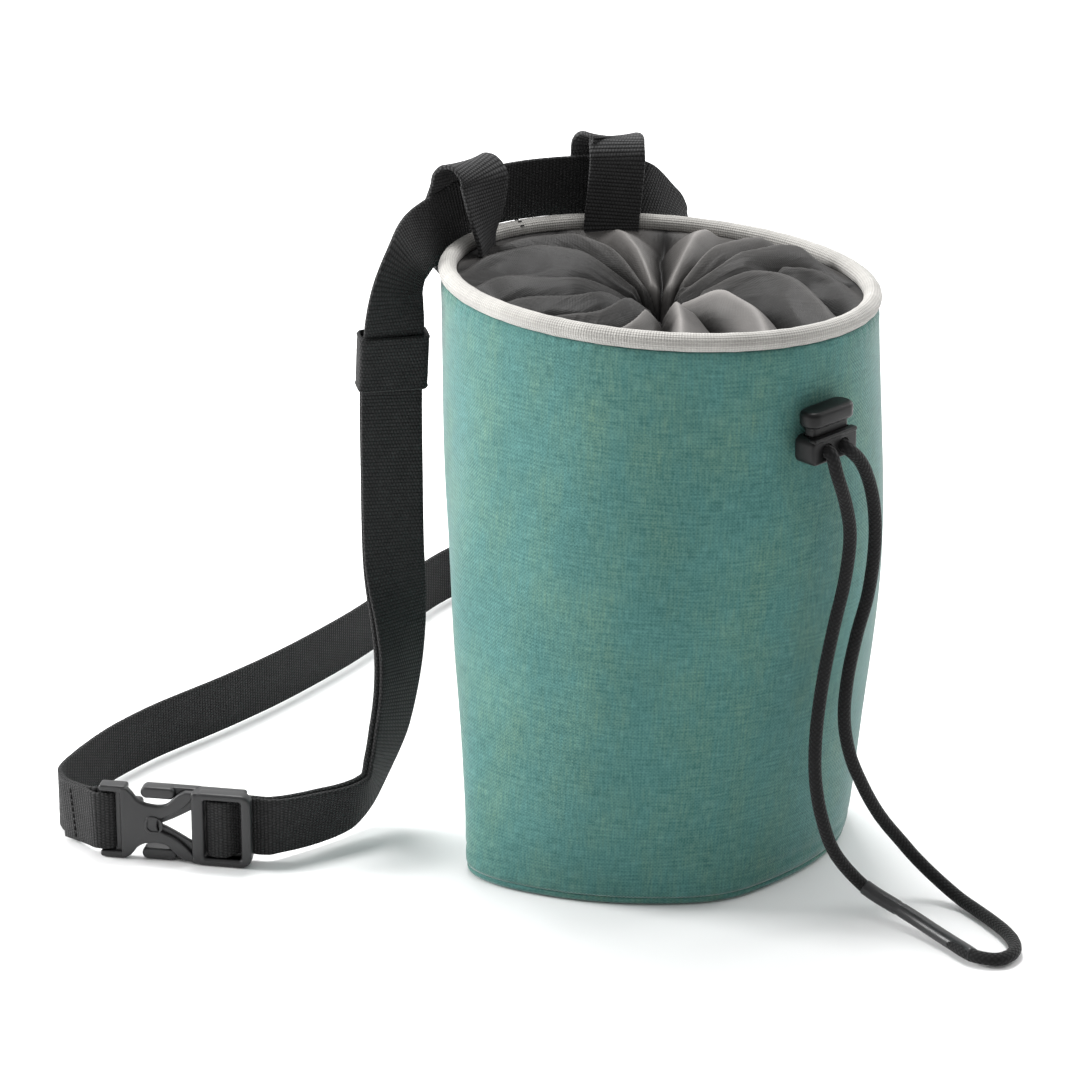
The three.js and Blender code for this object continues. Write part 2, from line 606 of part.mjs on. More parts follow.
/** Solid of the boolean library from a closed geometry. */
function toSolid(geometry) {
  const bare = geometry.clone();
  for (const name of Object.keys(bare.attributes)) {
    if (name !== 'position') bare.deleteAttribute(name);
  }
  const merged = mergeVertices(bare, 1e-4);
  return new wasm.Manifold(new wasm.Mesh({
    numProp: 3,
    vertProperties: new Float32Array(merged.attributes.position.array),
    triVerts: new Uint32Array(merged.index.array),
  }));
}

function toGeometry(solid) {
  const mesh = solid.getMesh();
  const geometry = new THREE.BufferGeometry();
  geometry.setAttribute('position', new THREE.BufferAttribute(new Float32Array(mesh.vertProperties), 3));
  geometry.setIndex(new THREE.BufferAttribute(new Uint32Array(mesh.triVerts), 1));
  geometry.computeVertexNormals();
  return geometry;
}

/** Rectangle with rounded corners as a shape or a hole. */
function roundedRectangle(left, bottom, right, top, radius, Kind = THREE.Shape) {
  const path = new Kind();
  path.moveTo(left + radius, bottom);
  path.lineTo(right - radius, bottom);
  path.absarc(right - radius, bottom + radius, radius, -Math.PI / 2, 0, false);
  path.lineTo(right, top - radius);
  path.absarc(right - radius, top - radius, radius, 0, Math.PI / 2, false);
  path.lineTo(left + radius, top);
  path.absarc(left + radius, top - radius, radius, Math.PI / 2, Math.PI, false);
  path.lineTo(left, bottom + radius);
  path.absarc(left + radius, bottom + radius, radius, Math.PI, Math.PI * 1.5, false);
  return path;
}

/** A shape drawn in the buckle's plane and given its place from back to front. */
function slab(shape, back, front, curveSegments = 3) {
  const options = { depth: front - back, bevelEnabled: false, curveSegments };
  return toSolid(new THREE.ExtrudeGeometry(shape, options).translate(0, 0, back));
}

const halfHeight = BUCKLE_HEIGHT / 2;
const slotHalf = halfHeight - BUCKLE_RAIL;

/** Male half: slot bar, waisted plate and two spread arms. */
function makeBuckleMale() {
  const [plate, waist, fork, tip] = [0.14, 0.27, 0.36, 0.6].map((share) => share * BUCKLE_LENGTH);
  const frame = roundedRectangle(0, -halfHeight, plate + 1.6, halfHeight, 1.5);
  frame.holes.push(roundedRectangle(BUCKLE_BAR, -slotHalf, plate - 0.4, slotHalf, 0.8, THREE.Path));
  const rails = new THREE.Shape();
  rails.moveTo(plate, -halfHeight + 1);
  rails.quadraticCurveTo(plate + 3, -halfHeight + 1.5, waist, -halfHeight * 0.48);
  rails.quadraticCurveTo(fork + 3, -halfHeight * 0.5, tip - 4.5, -halfHeight + 0.8);
  rails.lineTo(tip, -halfHeight + 0.8);
  rails.quadraticCurveTo(fork + 6, -halfHeight * 0.3, fork, 0);
  rails.quadraticCurveTo(fork + 6, halfHeight * 0.3, tip, halfHeight - 0.8);
  rails.lineTo(tip - 4.5, halfHeight - 0.8);
  rails.quadraticCurveTo(fork + 3, halfHeight * 0.5, waist, halfHeight * 0.48);
  rails.quadraticCurveTo(plate + 3, halfHeight - 1.5, plate, halfHeight - 1);
  rails.closePath();
  const bar = BUCKLE_BAR_THICKNESS / 2;
  const thick = BUCKLE_THICKNESS / 3;
  const slotFrame = slab(frame, -bar, bar);
  const shoulders = [-1, 1].map((side) => {
    const low = side > 0 ? slotHalf + 0.1 : -halfHeight;
    const shoulder = roundedRectangle(0.4, low, plate + 1.2, low + BUCKLE_RAIL - 0.1, 1);
    return slab(shoulder, -thick, thick);
  });
  const body = slab(rails, GAP / 2, thick + 0.3, 5);
  const root = slab(roundedRectangle(plate - 0.2, -halfHeight * 0.55, waist, halfHeight * 0.55, 1), -thick, thick);
  return toGeometry([...shoulders, body, root].reduce((all, piece) => all.add(piece), slotFrame));
}

/** Female half: side rails behind the arms, a cross bar, the ladder bar and the end bar. */
function makeBuckleFemale() {
  const [start, window, cross, slot] = [0.28, 0.33, 0.61, 0.67].map((share) => share * BUCKLE_LENGTH);
  const half = BUCKLE_THICKNESS / 2;
  const windowHalf = halfHeight * 0.72;
  const back = roundedRectangle(start, -halfHeight, cross + 2, halfHeight, 2);
  const opening = roundedRectangle(start - 1, -windowHalf, cross, windowHalf, 0.5);
  const rails = slab(back, -half, -GAP / 2).subtract(slab(opening, -half - 1, half));
  const lugs = [-1, 1].map((side) => {
    const low = side > 0 ? windowHalf : -halfHeight;
    const lug = roundedRectangle(start, low, window + 4.6, low + halfHeight - windowHalf, 1.2);
    return slab(lug, -half + 0.5, half / 3);
  });
  const outline = roundedRectangle(cross, -halfHeight, BUCKLE_LENGTH, halfHeight, 3);
  outline.holes.push(roundedRectangle(slot, -slotHalf, endBar, slotHalf, 0.8, THREE.Path));
  const behindEnd = roundedRectangle(endBar - 1, -slotHalf, BUCKLE_LENGTH + 1, slotHalf, 0.5);
  const shell = slab(outline, -half, half).subtract(slab(behindEnd, -half - 1, endBarBack));
  const bar = BUCKLE_BAR_THICKNESS / 2;
  const ladder = roundedRectangle(ladderBar, -slotHalf - 0.5, ladderEnd, slotHalf + 0.5, 0.6);
  const pieces = [rails, ...lugs, slab(ladder, -bar, bar)];
  return toGeometry(pieces.reduce((all, piece) => all.add(piece), shell));
}

/** Turns a geometry from the buckle's plane into its place on the floor. */
function placeInBuckle(mesh) {
  const up = vector(0, 0, 1);
  mesh.quaternion.setFromRotationMatrix(new THREE.Matrix4().makeBasis(buckleAlong, up, buckleFront));
  mesh.position.copy(buckleStart);
  return mesh;
}

// Cord lock: its back rests on the front of the wall
const lockBack = wallPoint(-95, LOCK_LEVEL + LOCK_HEIGHT / 2).y - GAP - 0.4;
const lockMiddle = lockBack - LOCK_DEPTH / 2;
const stemWidth = LOCK_WIDTH * 0.62;
const stemDepth = LOCK_DEPTH * 0.45;
const cordHole = CORD_DIAMETER + 2 * GAP;

/** An upright block with rounded corners, from one level to another. */
function uprightBlock(width, depth, radius, low, high, edge = 0) {
  const shape = roundedRectangle(-width / 2, -depth / 2, width / 2, depth / 2, radius);
  const bevel = edge > 0
    ? { bevelEnabled: true, bevelThickness: edge, bevelSize: edge, bevelOffset: -edge, bevelSegments: 2 }
    : { bevelEnabled: false };
  const options = { depth: high - low - 2 * edge, curveSegments: 3, ...bevel };
  return toSolid(new THREE.ExtrudeGeometry(shape, options).translate(0, 0, low + edge));
}

function makeLockBody() {
  const body = uprightBlock(LOCK_WIDTH, LOCK_DEPTH, 2.2, 0, LOCK_HEIGHT, 0.8);
  const bore = uprightBlock(stemWidth + 2 * GAP, stemDepth + 2 * GAP, 1, 1.2, LOCK_HEIGHT + 1);
  const hole = new THREE.CylinderGeometry(cordHole / 2, cordHole / 2, LOCK_DEPTH / 2, 10);
  const holes = [-1, 1].map((side) => toSolid(
    hole.clone().translate((side * CORD_SPACING) / 2, -LOCK_DEPTH / 2, LOCK_HEIGHT * HOLE_LEVEL),
  ));
  return toGeometry(holes.reduce((all, piece) => all.subtract(piece), body.subtract(bore)));
}

function makeLockButton() {
  const low = LOCK_HEIGHT + BUTTON_TRAVEL + GAP;
  const cap = uprightBlock(LOCK_WIDTH * 0.97, LOCK_DEPTH, 2.6, low, low + BUTTON_HEIGHT, 1.3);
  const foot = 1.2 + BUTTON_TRAVEL + GAP;
  const stem = uprightBlock(stemWidth, stemDepth, 0.9, foot, low + BUTTON_HEIGHT / 2);
  return toGeometry(cap.add(stem));
}

/** A round cord along a route. */
function makeCord(points, diameter, sides) {
  const route = new THREE.CatmullRomCurve3(points.map((point) => vector(...point)), false, 'centripetal');
  const section = new THREE.Shape();
  for (let i = 0; i < sides; i += 1) {
    const angle = (i * 2 * Math.PI) / sides;
    const [x, y] = [(diameter / 2) * Math.cos(angle), (diameter / 2) * Math.sin(angle)];
    if (i === 0) section.moveTo(x, y);
    else section.lineTo(x, y);
  }
  section.closePath();
  const steps = Math.round(route.getLength() / (CORD_STEP * diameter));
  return new THREE.ExtrudeGeometry(section, { steps, extrudePath: route, bevelEnabled: false });
}

const finishes = {
  weave: { color: 0x4f8f80, roughness: 0.9, metalness: 0 },
  piping: { color: 0xbdb8b0, roughness: 0.8, metalness: 0 },
  nylon: { color: 0x5c5a58, roughness: 0.6, metalness: 0 },
  webbing: { color: 0x2c2c2e, roughness: 0.85, metalness: 0 },
  elastic: { color: 0x242426, roughness: 0.9, metalness: 0 },
  plastic: { color: 0x38393b, roughness: 0.45, metalness: 0 },
  cord: { color: 0x222224, roughness: 0.85, metalness: 0 },
};

function piece(name, geometry, finish) {
  const mesh = new THREE.Mesh(geometry, new THREE.MeshStandardMaterial(finishes[finish]));
  mesh.name = name;
  return mesh;
}

const bag = new THREE.Group();
bag.add(
  piece('side_wall', makeSideWall(), 'weave'),
  piece('base_panel', makeBasePanel(), 'weave'),
  piece('rim_piping', makePiping(), 'piping'),
  piece('closure_sleeve', makeSleeve(), 'nylon'),
);
for (const loop of BELT_LOOPS) {
  bag.add(piece(loop.name, makeBeltLoop(loop), 'webbing'));
}

const belt = new THREE.Group();
belt.add(
  piece('belt', makeBelt(), 'webbing'),
  piece('strap_keeper', makeKeeper(), 'elastic'),
  placeInBuckle(piece('buckle_male', makeBuckleMale(), 'plastic')),
  placeInBuckle(piece('buckle_female', makeBuckleFemale(), 'plastic')),
);

const lock = new THREE.Group();
lock.position.set(LOCK_ACROSS, lockMiddle, LOCK_LEVEL);
lock.add(
  piece('lock_body', makeLockBody(), 'plastic'),
  piece('lock_button', makeLockButton(), 'plastic'),
);

/** Where a strand starts, close in front of its hole in the lock. */
function lockExit(side) {
  const across = LOCK_ACROSS + (side * CORD_SPACING) / 2;
  const front = lockBack - LOCK_DEPTH - GAP;
  return [across, front - CORD_DIAMETER / 2, LOCK_LEVEL + LOCK_HEIGHT * HOLE_LEVEL];
}

/** Points in line with one end of the joiner, from just off it to one cord's thickness away. */
function besideJoiner(end, next) {
  const outward = vector(...end).sub(vector(...next)).normalize();
  const away = (distance) => vector(...end).addScaledVector(outward, distance).toArray();
  return [away(CORD_DIAMETER), away(1.5 * GAP)];
}

const leftRoute = [lockExit(-1), ...CORD_LEFT, ...besideJoiner(CORD_JOINER[0], CORD_JOINER[1])];
const rightRoute = [lockExit(1), ...CORD_RIGHT, ...besideJoiner(CORD_JOINER.at(-1), CORD_JOINER.at(-2))];
const drawcord = new THREE.Group();
drawcord.add(
  piece('drawcord_left', makeCord(leftRoute, CORD_DIAMETER, CORD_SIDES), 'cord'),
  piece('drawcord_right', makeCord(rightRoute, CORD_DIAMETER, CORD_SIDES), 'cord'),
  piece('cord_joiner', makeCord(CORD_JOINER, JOINER_DIAMETER, CORD_SIDES), 'plastic'),
);

const chalkBag = new THREE.Group();
chalkBag.add(bag, belt, lock, drawcord);

export default chalkBag;
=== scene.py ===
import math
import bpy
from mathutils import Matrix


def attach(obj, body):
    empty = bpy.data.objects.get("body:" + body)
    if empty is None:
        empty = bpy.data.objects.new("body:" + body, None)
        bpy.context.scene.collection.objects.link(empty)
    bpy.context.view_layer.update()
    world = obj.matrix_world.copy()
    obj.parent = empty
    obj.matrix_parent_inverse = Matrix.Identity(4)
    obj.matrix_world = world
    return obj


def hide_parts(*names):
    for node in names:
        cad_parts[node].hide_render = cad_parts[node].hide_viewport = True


bl_info = {
    "name": "Chalk bag",
    "version": (1, 0, 0),
    "blender": (4, 5, 0),
    "location": "3D View > Sidebar > Chalk bag",
    "description": "Dresses a climbing chalk bag: cloth, webbing, buckle, cord lock and drawcord",
    "category": "Add Mesh",
}

import bmesh
import bpy
import numpy as np
from bpy.props import FloatProperty, FloatVectorProperty, IntProperty, PointerProperty
from mathutils import Matrix, Vector

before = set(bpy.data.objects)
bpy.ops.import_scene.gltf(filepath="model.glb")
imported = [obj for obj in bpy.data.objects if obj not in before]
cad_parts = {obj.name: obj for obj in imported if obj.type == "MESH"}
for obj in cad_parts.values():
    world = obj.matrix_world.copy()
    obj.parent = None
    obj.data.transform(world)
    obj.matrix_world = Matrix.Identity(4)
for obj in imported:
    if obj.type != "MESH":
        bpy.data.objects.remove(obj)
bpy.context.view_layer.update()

MILLIMETRE = 0.001

# Rim and wall, in metres: the rim's sizes are those of the piping's centre line
RIM_HEIGHT = 0.165
RIM_WIDTH = 0.1056
RIM_DEPTH = 0.123
RIM_DROP_RIGHT = 0.0024
RIM_DROP_BACK = 0.0011
BASE_WIDTH = 0.114
BASE_FRONT = 0.047
BASE_BACK = 0.028
BASE_MIDDLE = 0.009
BASE_THICKNESS = 0.002
FRONT_FULLNESS = 2.15
BACK_FULLNESS = 3.4
WALL_TUCK = 0.0007
GAP = 0.0003
PIPING_RADIUS = 0.0025
PIPING_LAP = 82.5
PIPING_LAP_PINCH = 0.07

# Webbing: belt, loops and keeper
BELT_OUT = 0.0018
BELT_SEAT = 0.001
BELT_LIFT = 0.0005
LOOP_RISE = 0.0245
LOOP_DEPTH = 0.0106
LOOP_SEWN = 0.018
LOOP_FOOT_SETBACK = 0.0001
KEEPER_LEVEL = 0.838
TAIL_OVER_KEEPER = 0.0095
TAIL_SHIFT = 0.0004
SEWN_FLAP = 0.014
SEWN_HEADING = 84.5
SEWN_STITCH = 0.0068
KEEPER_WALL = 0.0007

# Buckle, lying on its long edge: its place is in shares of the rim's half width and half depth
BUCKLE_PLACE = (-2.263, 1.618)
BUCKLE_LENGTH = 0.0435
BUCKLE_HEIGHT = 0.022
BUCKLE_THICKNESS = 0.006
BUCKLE_HEADING = math.radians(-55)
BUCKLE_BAR = 0.002
BUCKLE_BAR_THICKNESS = 0.0018
BUCKLE_RAIL = 0.0021
BUCKLE_STEP = 0.00012
LADDER_BAR = BUCKLE_LENGTH * 0.75
LADDER_END = LADDER_BAR + BUCKLE_BAR * 1.5
END_BAR = BUCKLE_LENGTH * 0.935
SHARP_EDGE = math.radians(40)
SOCKET_START = 0.0118
SOCKET_CROSS = 0.0265

# Cord lock
LOCK_WIDTH = 0.0175
LOCK_DEPTH = 0.007
LOCK_HEIGHT = 0.0076
LOCK_LEVEL = 0.1335
LOCK_ACROSS = -0.0062
HOLE_LEVEL = 0.46
BUTTON_HEIGHT = 0.0046
BUTTON_TRAVEL = 0.0021
CORD_SPACING = 0.0064
LOCK_CLEARANCE = 0.0004
LOCK_DIRECTION = -95

# Camera and light, in metres, degrees and watts
CAMERA_LENS = 160.33
CAMERA_PITCH = 22
CAMERA_PLACE = (-0.8944, -0.8490, 0.5871)
LIGHT_TARGET = Vector((0, 0.02, 0.1))
SOFTBOXES = (
    ("overhead light", (0.25, 0.45, 1.50), 0.5, 22),
    ("left light", (-0.90, 1.25, 0.60), 0.6, 34),
    ("right light", (1.25, -0.35, 0.60), 0.6, 5),
)
FLOOR_LEVEL = -0.0002
SKY_BRIGHT_SIDE = (0.64, 0.64, 0.42)
SKY_SLOPE = 0.55
SKY_MIDDLE = 0.66

# Sleeve: level of its crests at the hole, their rise to the ring outside it and their fall to the rim
CREST_LEVEL = 0.1580
CREST_RISE = 0.0100
CREST_FALL = 0.0035
CREST_LOWERED = 0.0040
SLEEVE_THICKNESS = 0.0009

# Wall sections: rise is a share of the rim's height, rim how far the outline has gone to the rim's ellipse
WALL_RISE = (0, 0.04, 0.12, 0.25, 0.4, 0.55, 0.7, 0.85, 1)
WALL_RIM = (0, 0.07, 0.17, 0.34, 0.54, 0.72, 0.87, 0.97, 1)

# Swells and dents: around and spread in degrees, rise, tall and reach as shares
WALL_DENTS = (
    (-48, 42, 0.6, 0.35, 0.118),
    (-44, 34, 0.08, 0.2, 0.025),
    (-142, 32, 0, 0.25, -0.042),
    (150, 40, 0.35, 0.4, -0.014),
    (178, 13, 0, 0.08, 0.018),
    (-108, 15, 0, 0.08, 0.015),
    (-20, 22, 0.25, 0.2, 0.012),
)

# Belt loops: place on the rim, twist of the crown, twist of the outer leg, then shares of the rise,
# the twist of the inner foot, and how far the inner and the outer leg lean sideways
LOOPS = {
    "left": (105, -26, -15, 0.03, 0.065, 14, 0, 0),
    "right": (53, 0, 0, 0, 0.04, 0, -0.0016, 0.0030),
}

# The belt's run along the rim: place, and share of its usual distance from the piping
RIM_RUN = ((51, 1), (59, 1), (68, 1), (79, 1), (90, 0.78), (98, 0.42))

# Belt routes: shares of the rim's half width, half depth and height, then the edge's direction
FLOOR_RUN = (
    (-2.182, 1.989), (-2.013, 2.068), (-1.839, 2.125), (-1.629, 2.179), (-1.269, 2.228),
    (-0.833, 2.244), (-0.422, 2.273), (-0.076, 2.317), (0.347, 2.390), (0.652, 2.460),
    (0.985, 2.546), (1.250, 2.618), (1.477, 2.659), (1.705, 2.660), (1.913, 2.593),
    (2.074, 2.447), (2.140, 2.252), (2.112, 2.057),
)
FLOOR_LIFT = 0.003
BELT_RISE = (
    (1.998, 1.878, 0.009, -0.08, -0.10, -0.99),
    (1.852, 1.642, 0.050, -0.30, -0.25, -0.92),
    (1.667, 1.374, 0.158, -0.55, -0.45, -0.70),
    (1.515, 1.132, 0.310, -0.68, -0.58, -0.45),
    (1.388, 0.953, 0.474, -0.73, -0.65, -0.22),
    (1.277, 0.826, 0.630, -0.74, -0.66, -0.12),
    (1.174, 0.738, 0.778, -0.72, -0.66, -0.20),
    (1.091, 0.693, 0.882, -0.70, -0.65, -0.30),
    (1.015, 0.683, 0.930, -0.65, -0.60, -0.46),
    (0.947, 0.730, 0.950, -0.50, -0.45, -0.74),
    (0.803, 0.771, 0.976, -0.14, -0.14, -0.98),
)
BELT_DROP = (
    (-0.383, 1.030, 0.991, 0.41, -0.14, -0.90),
    (-0.580, 0.984, 0.985, 0.49, -0.18, -0.85),
    (-0.766, 0.907, 0.977, 0.74, -0.05, -0.67),
    (-0.858, 0.893, 0.941, 0.85, -0.14, -0.51),
    (-0.872, 0.903, 0.894, 0.87, -0.36, -0.33),
    (-0.848, 0.935, 0.846, 0.86, -0.48, -0.16),
    (-0.842, 0.950, 0.799, 0.83, -0.55, -0.07),
    (-0.837, 0.960, 0.763, 0.80, -0.59, -0.06),
    (-0.831, 0.966, 0.620, 0.77, -0.64, -0.04),
    (-0.820, 0.968, 0.471, 0.82, -0.56, -0.08),
    (-0.802, 0.953, 0.371, 0.95, -0.20, -0.22),
    (-0.804, 0.943, 0.295, 0.96, 0.01, -0.29),
    (-0.837, 0.937, 0.222, 0.93, 0.14, -0.33),
    (-0.902, 0.931, 0.153, 0.90, 0.23, -0.36),
    (-0.990, 0.928, 0.092, 0.81, 0.40, -0.43),
    (-1.076, 0.917, 0.043, 0.55, 0.44, -0.71),
    (-1.217, 0.907, 0.018, 0.34, 0.28, -0.90),
    (-1.435, 0.933, 0.013, 0.23, 0.13, -0.96),
    (-1.637, 0.968, 0.015, 0.06, 0.09, -0.99),
)

# Drawcord route in metres, from the lock down to the floor
CORD_LEFT = (
    (-0.0084, -0.0732, 0.1306), (-0.0046, -0.0732, 0.1211), (-0.0020, -0.0726, 0.1117),
    (-0.0018, -0.0710, 0.0983), (-0.0040, -0.0696, 0.0856), (-0.0068, -0.0686, 0.0704),
    (-0.0091, -0.0685, 0.0547), (-0.0099, -0.0694, 0.0422), (-0.0084, -0.0708, 0.0304),
    (-0.0046, -0.0724, 0.0194),
)
CORD_JOINER = (
    (0.0033, -0.0764, 0.0080), (0.0042, -0.0800, 0.0064), (0.0052, -0.0905, 0.0040),
    (0.0038, -0.1040, 0.0025), (0.0014, -0.1170, 0.0022),
)
CORD_RIGHT = (
    (0.0006, -0.0730, 0.1324), (0.0043, -0.0732, 0.1256), (0.0071, -0.0730, 0.1163),
    (0.0085, -0.0722, 0.1054), (0.0080, -0.0708, 0.0915), (0.0050, -0.0696, 0.0794),
    (0.0029, -0.0686, 0.0666), (0.0023, -0.0685, 0.0555), (0.0045, -0.0690, 0.0446),
    (0.0086, -0.0702, 0.0346), (0.0126, -0.0713, 0.0270), (0.0157, -0.0725, 0.0219),
    (0.0194, -0.0750, 0.0161), (0.0216, -0.0783, 0.0116), (0.0236, -0.0835, 0.0070),
    (0.0246, -0.0925, 0.0026), (0.0233, -0.0995, 0.0020), (0.0210, -0.1074, 0.0020),
    (0.0186, -0.1140, 0.0020), (0.0156, -0.1192, 0.0020), (0.0120, -0.1226, 0.0020),
    (0.0080, -0.1237, 0.0020), (0.0044, -0.1226, 0.0020),
)

# Sleeve crests: lean, height share, painted lightness (light and shade painted into the nylon's colour:
# darker folds stand in for shade, lighter ones for light), then places in the rim's plane in millimetres
SLEEVE_CRESTS = (
    (0.00, 0.95, 0.55, ((-12, 56), (0, 50), (6, 41), (6.2, 32), (5, 19), (3, 9))),
    (0.40, 1.15, 0.26, ((-37, 41), (-21, 45), (-11, 38), (-5, 28), (-3, 18), (-1, 8))),
    (0.45, 1.05, 0.20, ((-45, 31), (-36, 29), (-30, 21), (-22, 13), (-13, 9), (-5, 5))),
    (0.45, 0.95, 0.20, ((-50, 16), (-42, 13), (-36, 6), (-27, 1), (-17, 1), (-6, 1))),
    (0.40, 0.85, 0.26, ((-52, 2), (-45, -3), (-36, -10), (-27, -10), (-17, -7), (-8, -3))),
    (0.30, 0.70, 1.30, ((-44, -20), (-39, -21), (-32, -21), (-24, -18))),
    (0.15, 0.80, 1.90, ((-36, -43), (-28, -35), (-20, -27), (-12, -18), (-5, -9))),
    (0.00, 1.00, 1.90, ((-18, -57), (-10, -48), (-4, -38), (-1, -28), (1, -18), (1, -8))),
    (-0.25, 1.10, 0.45, ((9, -60), (14, -48), (18, -37), (19, -26), (15, -17), (8, -9))),
    (-0.30, 0.80, 0.30, ((24, -53), (31, -45), (35, -36), (34, -27), (28, -20))),
    (-0.45, 1.15, 0.45, ((45, -28), (45, -18), (38, -10), (28, -8), (17, -6), (8, -1))),
    (-0.20, 0.85, 0.80, ((51, -4), (43, 3), (33, 4), (22, 3), (12, 2))),
    (0.00, 0.62, 2.00, ((46, 22), (33, 17), (21, 10), (10, 5))),
    (0.00, 0.50, 2.10, ((30, 46), (20, 32), (13, 20), (7, 9))),
    (0.20, 0.75, 0.50, ((-32, 50), (-16, 51))),
)


def colour_property(name, description, default):
    """A property that holds a colour."""
    return FloatVectorProperty(name=name, description=description, default=default,
                               size=3, min=0, max=1, subtype="COLOR")


def length_property(name, description, default, low, high):
    """A property in metres."""
    return FloatProperty(name=name, description=description, default=default, min=low, max=high,
                         unit="LENGTH", subtype="DISTANCE")


class ClothLook(bpy.types.PropertyGroup):
    """The bag's own cloth: wall, base, piping and closure sleeve."""

    weave_light: colour_property(
        "Light yarn", "Colour of the wall's light yarns", (0.100, 0.250, 0.232))
    weave_dark: colour_property(
        "Dark yarn", "Colour of the wall's dark yarns", (0.036, 0.120, 0.110))
    weave_fleck: colour_property(
        "Fleck yarn", "Colour of the warmer yarns that run unevenly through the wall", (0.150, 0.270, 0.190))
    yarn_pitch: length_property(
        "Yarn pitch", "Distance between the wall's yarns", 0.00055, 0.0002, 0.003)
    wall_thickness: length_property(
        "Wall thickness", "Thickness of the padded wall", 0.002, 0.001, 0.003)
    piping_diameter: length_property(
        "Piping diameter", "Thickness of the corded piping on the rim", 0.005, 0.003, 0.007)
    piping_colour: colour_property(
        "Piping", "Colour of the piping's cover", (0.45, 0.437, 0.412))
    nylon_colour: colour_property(
        "Nylon", "Colour of the closure sleeve", (0.050, 0.0475, 0.0455))
    fold_height: length_property(
        "Fold height", "How far the sleeve's gathered folds stand up", 0.0110, 0.002, 0.014)
    gather_hole: length_property(
        "Gather hole", "Width of the hole that the drawn cord leaves", 0.009, 0.004, 0.03)


class StrapLook(bpy.types.PropertyGroup):
    """The belt, its loops and the keeper."""

    belt_width: length_property(
        "Belt width", "Width of the belt's webbing", 0.017, 0.010, 0.025)
    belt_thickness: length_property(
        "Belt thickness", "Thickness of the belt's webbing", 0.0014, 0.0008, 0.0025)
    loop_width: length_property(
        "Loop width", "Width of the belt loops' webbing", 0.0156, 0.010, 0.025)
    rib_pitch: length_property(
        "Rib pitch", "Distance between the webbing's cross ribs", 0.00105, 0.0004, 0.003)
    keeper_length: length_property(
        "Keeper length", "Length of the elastic keeper along the belt", 0.0165, 0.006, 0.03)
    webbing_colour: colour_property(
        "Webbing", "Colour of the belt and loops", (0.0118, 0.0118, 0.0120))
    thread_colour: colour_property(
        "Thread", "Colour of the sewing thread on the webbing", (0.012, 0.012, 0.012))


class HardwareLook(bpy.types.PropertyGroup):
    """The moulded parts and the drawcord."""

    plastic_colour: colour_property(
        "Plastic", "Colour of the buckle and the cord lock", (0.021, 0.021, 0.022))
    edge_round: length_property(
        "Edge rounding", "Radius on the moulded edges", 0.0005, 0.0001, 0.0009)
    cord_diameter: length_property(
        "Cord diameter", "Thickness of the drawcord", 0.0036, 0.002, 0.005)
    joiner_diameter: length_property(
        "Joiner diameter", "Thickness of the tube that joins the cord's ends", 0.0042, 0.003, 0.007)
    cord_colour: colour_property(
        "Cord", "Colour of the braided drawcord", (0.0065, 0.0065, 0.0068))
    braid_strands: IntProperty(
        name="Braid strands", description="Strands that wind each way round the cord",
        default=8, min=4, max=24)


def cubic(share, start, leave, end, arrive):
    """Values part of the way along a cubic from its ends' values and slopes."""
    square, cube = share**2, share**3
    return (start * (2 * cube - 3 * square + 1) + leave * (cube - 2 * square + share)
            + end * (3 * square - 2 * cube) + arrive * (cube - square))


def table_curve(keys, values, at):
    """Values of a smooth curve through a table's rows, at several places."""
    keys, values, at = np.array(keys, float), np.array(values, float), np.asarray(at, float)
    above = np.clip(np.searchsorted(keys, at), 1, len(keys) - 1)
    below = above - 1
    before = np.maximum(below - 1, 0)
    after = np.minimum(above + 1, len(keys) - 1)
    span = keys[above] - keys[below]
    share = (at - keys[below]) / span
    start = (values[above] - values[before]) / (keys[above] - keys[before]) * span
    end = (values[after] - values[below]) / (keys[after] - keys[below]) * span
    return cubic(share, values[below], start, values[above], end)


def unit_vectors(vectors):
    """Vectors scaled to length one."""
    return vectors / np.linalg.norm(vectors, axis=-1, keepdims=True)


def smooth_step(low, high, value):
    """0 below low, 1 above high and an even slope between them."""
    share = np.clip((value - low) / (high - low), 0, 1)
    return share * share * (3 - 2 * share)


def smooth_route(points, steps):
    """Points on a centripetal curve through few ones, with some steps between each two."""
    points = np.array(points, float)
    first = 2 * points[0] - points[1]
    last = 2 * points[-1] - points[-2]
    padded = np.vstack([first, points, last])
    before, start, end, after = padded[:-3], padded[1:-2], padded[2:-1], padded[3:]
    ahead, middle, behind = (np.linalg.norm(to - at, axis=1, keepdims=True) ** 0.5 for at, to in
                             ((before, start), (start, end), (end, after)))
    middle = np.where(middle < 1e-4, 1.0, middle)
    ahead = np.where(ahead < 1e-4, middle, ahead)
    behind = np.where(behind < 1e-4, middle, behind)
    across = (end - start) / middle
    enter = ((start - before) / ahead - (end - before) / (ahead + middle) + across) * middle
    leave = (across - (after - start) / (middle + behind) + (after - end) / behind) * middle
    share = (np.arange(steps) / steps)[:, None, None]
    run = cubic(share, start, enter, end, leave)
    return np.vstack([run.transpose(1, 0, 2).reshape(-1, points.shape[1]), points[-1:]])


def bell(value, middle, spread):
    """1 in the middle, falling off evenly on both sides."""
    return np.exp(-(((value - middle) / spread) ** 2))


